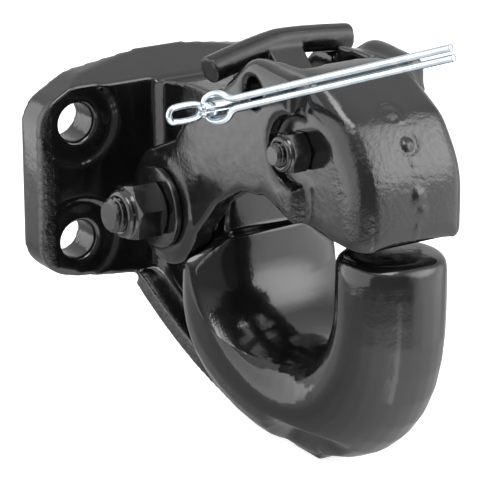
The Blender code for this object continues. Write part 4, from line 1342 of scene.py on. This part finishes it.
@dataclass
class Studio:
    """The plain pale floor, the soft lamps and the camera at the photograph's angle.

    Args:
        floor_up: the floor's height.
        camera_place, azimuth, elevation, lens: the camera's place, angles in degrees and lens in millimetres.
        floor_lift: how much lighter the floor is to the camera.
        world_light: the surroundings' strength as plain light.
        boxes: the lamps.
        glows: the lights that show in the gloss alone.
    """

    floor_up: float = -0.0815
    camera_place: tuple = (-0.4848, -0.8031, 0.2796)
    azimuth: float = -33.0
    elevation: float = 18.5
    lens: float = 195.0
    floor_lift: float = 0.75
    world_light: float = 0.42
    boxes: tuple = (
        SoftBox("left_softbox", (-0.56, 0.15, 0.14), (0.0, -0.09, 0.02), 1.15, 0.74, 4.7),
        SoftBox("right_softbox", (0.47, -0.49, 0.13), (0.0, -0.10, 0.02), 0.58, 0.76, 4.3, False),
        SoftBox("top_softbox", (-0.15, -0.21, 0.56), (0.0, -0.10, 0.02), 0.34, 0.30, 2.4),
    )
    glows: tuple = (Glow(42.0, 32.0, 37.0, 3.0, 3.8), Glow(54.0, 2.0, 52.0, 22.0, 1.9))

    def build(self) -> None:
        """Set up everything that isn't the object."""
        self.floor()
        self.world()
        for box in self.boxes:
            box.build()
        self.camera()
        bpy.context.scene.view_settings.view_transform = "Standard"

    def floor(self) -> None:
        """A wide floor: white to the camera and hidden from gloss, with the object's shadow kept."""
        size = 3.0
        points = np.array([(-size, -size, self.floor_up), (size, -size, self.floor_up),
                           (size, size, self.floor_up), (-size, size, self.floor_up)])
        piece = mesh_object("studio_floor", points, np.array([(0, 1, 2, 3)]))
        graph = Graph("floor_white")
        graph.shader.inputs["Base Color"].default_value = (0.86, 0.86, 0.86, 1.0)
        graph.shader.inputs["Roughness"].default_value = 0.9
        rays = graph.add("ShaderNodeLightPath")
        glow = graph.add("ShaderNodeEmission")
        graph.join(graph.math("MULTIPLY", (rays, "Is Camera Ray"), self.floor_lift), 0, glow, "Strength")
        both = graph.add("ShaderNodeAddShader")
        graph.join(graph.shader, 0, both, 0)
        graph.join(glow, 0, both, 1)
        graph.join(both, 0, graph.output, "Surface")
        piece.data.materials.append(graph.material)
        piece.visible_glossy = False

    def world(self) -> None:
        """White to the camera, dimmer as light, and in gloss a shaded studio.

        The gloss is darker ahead than behind, lighter overhead, and below level it follows the floor,
        with a lighter strip ahead on the left. The glows are added above level.
        """
        world = bpy.data.worlds.new("studio")
        bpy.context.scene.world = world
        world.use_nodes = True
        tree = world.node_tree
        sky = tree.nodes["Background"]
        sky.inputs["Color"].default_value = (1.0, 1.0, 1.0, 1.0)
        rays = tree.nodes.new("ShaderNodeLightPath")
        way = tree.nodes.new("ShaderNodeTexCoord")
        parts = tree.nodes.new("ShaderNodeSeparateXYZ")
        tree.links.new(way.outputs["Generated"], parts.inputs[0])
        level = self.ramp(tree, parts.outputs["Y"], (-0.3, 0.7), (0.42, 0.85))
        under = self.ramp(tree, parts.outputs["Y"], (-0.7, 0.62), (2.0, 0.50))
        high = self.ramp(tree, parts.outputs["Z"], (0.45, 0.85), (0.0, 1.0))
        low = self.ramp(tree, parts.outputs["Z"], (-0.30, -0.44), (0.0, 1.0))
        left_end = self.ramp(tree, parts.outputs["X"], (-0.40, -0.33), (0.0, 1.0))
        right_end = self.ramp(tree, parts.outputs["X"], (-0.05, -0.14), (0.0, 1.0))
        ahead = self.ramp(tree, parts.outputs["Y"], (-0.45, -0.60), (0.0, 1.4))
        strip = self.join_strengths(tree, "MULTIPLY", left_end.outputs[0], right_end.outputs[0])
        strip = self.join_strengths(tree, "MULTIPLY", strip.outputs[0], ahead.outputs[0])
        under = self.join_strengths(tree, "ADD", under.outputs[0], strip.outputs[0])
        upper = self.choose(tree, high.outputs[0], None, level.outputs[0], 1.20)
        for glow in self.glows:
            added = glow.add(tree, way.outputs["Generated"])
            upper = self.join_strengths(tree, "ADD", upper.outputs[0], added.outputs[0])
        shade = self.choose(tree, low.outputs[0], under.outputs[0], upper.outputs[0])
        seen = tree.nodes.new("ShaderNodeMath")
        seen.operation = "MAXIMUM"
        tree.links.new(rays.outputs["Is Glossy Ray"], seen.inputs[0])
        tree.links.new(rays.outputs["Is Transmission Ray"], seen.inputs[1])
        reflected = self.choose(tree, seen.outputs[0], shade.outputs[0], self.world_light)
        final = self.choose(tree, rays.outputs["Is Camera Ray"], None, reflected.outputs[0], 1.0)
        tree.links.new(final.outputs[0], sky.inputs["Strength"])

    @staticmethod
    def join_strengths(tree: bpy.types.NodeTree, operation: str, first: bpy.types.NodeSocket,
                       second: bpy.types.NodeSocket) -> bpy.types.Node:
        """Join two strengths with a Math node.

        Args:
            tree: the world's node tree.
            operation: the Math node's operation.
            first, second: the strengths' sockets.

        Returns:
            The Math node.
        """
        node = tree.nodes.new("ShaderNodeMath")
        node.operation = operation
        tree.links.new(first, node.inputs[0])
        tree.links.new(second, node.inputs[1])
        return node

    @staticmethod
    def ramp(tree: bpy.types.NodeTree, source: bpy.types.NodeSocket, span: tuple[float, float],
             strengths: tuple[float, float]) -> bpy.types.Node:
        """Remap a direction's component to a strength.

        Args:
            tree: the world's node tree.
            source: the socket of the component.
            span: its values at the two ends.
            strengths: the strengths there.

        Returns:
            The Map Range node.
        """
        node = tree.nodes.new("ShaderNodeMapRange")
        tree.links.new(source, node.inputs["Value"])
        set_range(node, *span, *strengths)
        return node

    @staticmethod
    def choose(tree: bpy.types.NodeTree, switch: bpy.types.NodeSocket, on: object, off: object,
               value: float = 0.0) -> bpy.types.Node:
        """A blend between two strengths: on where the switch is 1 and off where it is 0.

        Args:
            tree: the world's node tree.
            switch: the socket that decides.
            on: the socket used where the switch is 1, or None to use value.
            off: the socket or number used where the switch is 0.
            value: the number used for on where it is None.

        Returns:
            The Mix node.
        """
        node = tree.nodes.new("ShaderNodeMix")
        tree.links.new(switch, node.inputs["Factor"])
        for name, operand in (("A", off), ("B", value if on is None else on)):
            if isinstance(operand, float):
                node.inputs[name].default_value = operand
            else:
                tree.links.new(operand, node.inputs[name])
        return node

    def camera(self) -> None:
        """The camera, looking along the photograph's azimuth and elevation."""
        data = bpy.data.cameras.new("camera")
        data.lens = self.lens
        data.sensor_width = 36.0
        turn, rise = math.radians(self.azimuth), math.radians(self.elevation)
        back = Vector((math.sin(turn) * math.cos(rise), -math.cos(turn) * math.cos(rise), math.sin(rise)))
        camera = bpy.data.objects.new("camera", data)
        camera.location = self.camera_place
        camera.rotation_euler = (-back).to_track_quat("-Z", "Y").to_euler()
        bpy.context.scene.collection.objects.link(camera)
        bpy.context.scene.camera = camera


HOOK_SOFTENED = (
    Softening((-0.034, 0.060, -0.046), (0.034, 0.100, 0.004), 0.004, 0.30),
    Softening((-0.060, 0.000, 0.047), (0.060, 0.019, 0.090), 0.003, 0.6),
    Softening((-0.060, 0.000, -0.060), (-0.046, 0.019, -0.034), 0.003, 0.6),
    Softening((-0.020, 0.130, -0.004), (0.020, 0.190, 0.020)),
    Softening((-0.012, 0.014, -0.070), (0.012, 0.060, -0.030)),
    Softening((-0.022, 0.060, 0.000), (0.022, 0.075, 0.030)),
)
LATCH_SOFTENED = (
    Softening((-0.026, 0.112, -0.002), (-0.012, 0.138, 0.026), 0.004, 0.3),
    Softening((-0.026, 0.080, 0.054), (-0.010, 0.128, 0.070), 0.004, 0.3),
    Softening((0.010, 0.080, 0.054), (0.026, 0.128, 0.070), 0.004, 0.3),
    Softening((-0.012, 0.134, 0.004), (0.012, 0.175, 0.075), 0.005, 1.0),
)
HOOK_PATCHES = (
    *(RoughPatch(-0.0560, 0.0160, up, 0.0030, 0.0020, 1.6) for up in np.arange(-0.030, 0.034, 0.005)),
    RoughPatch(-0.0150, 0.046, 0.0405, 0.005), RoughPatch(-0.0120, 0.056, 0.041, 0.006),
    RoughPatch(-0.0080, 0.030, 0.0400, 0.004), RoughPatch(0.0, 0.040, 0.0400, 0.005),
    *(RoughPatch(-0.0190, 0.022 + 0.008 * step, -0.0425 - 0.0042 * step, 0.003) for step in range(5)),
    RoughPatch(-0.0130, 0.128, -0.078, 0.006, 0.003, 2.0),
    *(RoughPatch(across, 0.008, up, 0.0076, 0.0004, 0.25)
      for across in (-HOLE_ACROSS, HOLE_ACROSS) for up in (-HOLE_UP, HOLE_UP)),
)
LATCH_PATCHES = (
    RoughPatch(-0.0240, 0.1265, 0.0190, 0.004, 0.003, 2.2), RoughPatch(-0.0235, 0.1280, 0.0120, 0.003, 0.003, 2.2),
    RoughPatch(-0.0060, 0.138, 0.0600, 0.003, 0.004, 0.8), RoughPatch(-0.0140, 0.139, 0.0590, 0.003, 0.004, 0.8),
    RoughPatch(-0.0195, 0.1500, 0.0500, 0.002, 0.004, 0.7), RoughPatch(-0.0205, 0.1550, 0.0410, 0.002, 0.004, 0.7),
    RoughPatch(-0.0205, 0.1580, 0.0320, 0.002, 0.004, 0.7), RoughPatch(0.0, 0.1580, 0.0450, 0.003, 0.004, 0.4),
    RoughPatch(-0.0200, 0.158, 0.020, 0.005, 0.004, 0.6), RoughPatch(-0.0270, 0.062, 0.012, 0.006),
)
NOSE_LUMPS = (
    Boss(-0.0010, 0.1500, 0.0545, 0.0058, 0.0007), Lump(-0.0005, 0.1530, 0.0515, 0.0050, 0.0008),
    Boss(0.0002, 0.1585, 0.0440, 0.0050, 0.0010), Lump(0.0005, 0.1625, 0.0340, 0.0030, 0.0005),
    Lump(0.0010, 0.1628, 0.0262, 0.0034, 0.0009), Lump(0.0020, 0.1628, 0.0212, 0.0028, 0.0006),
)


def main() -> None:
    """Build the dressed hook and its studio."""
    logging.basicConfig(level=logging.INFO)
    Studio().build()
    hook_paint = CastPaint("hook_gloss_black", patches=HOOK_PATCHES, throat=(0.1030, -0.0100))
    latch_paint = CastPaint("latch_gloss_black", patches=LATCH_PATCHES, peel_height_mm=0.030, peel_size=0.0019,
                            gloss=0.13, wave_height_mm=0.07,
                            peel_patch=RoughPatch(0.0, 0.1700, 0.0400, 0.0180, 0.018, 8.0))
    lever_paint = CastPaint("lever_black", gloss=0.22, peel_height_mm=0.012, colour=(0.006, 0.006, 0.006),
                            specular=0.34)
    HookCasting("hook_body", "hook_casting", "hook", "gloss_black_paint", hook_paint, voxel=0.0009,
                softened=HOOK_SOFTENED).build()
    NoseCasting("latch", "latch_casting", "latch", "latch_black_paint", latch_paint, voxel=0.0009, passes=6,
                lumps=NOSE_LUMPS, softened=LATCH_SOFTENED, soft_passes=130).build()
    Casting("lock_lever", "lever_forging", "lock_lever", "lever_black_paint", lever_paint, voxel=0.0006).build()
    Fasteners().build()
    PinPair().build()


if __name__ == "__main__":
    main()
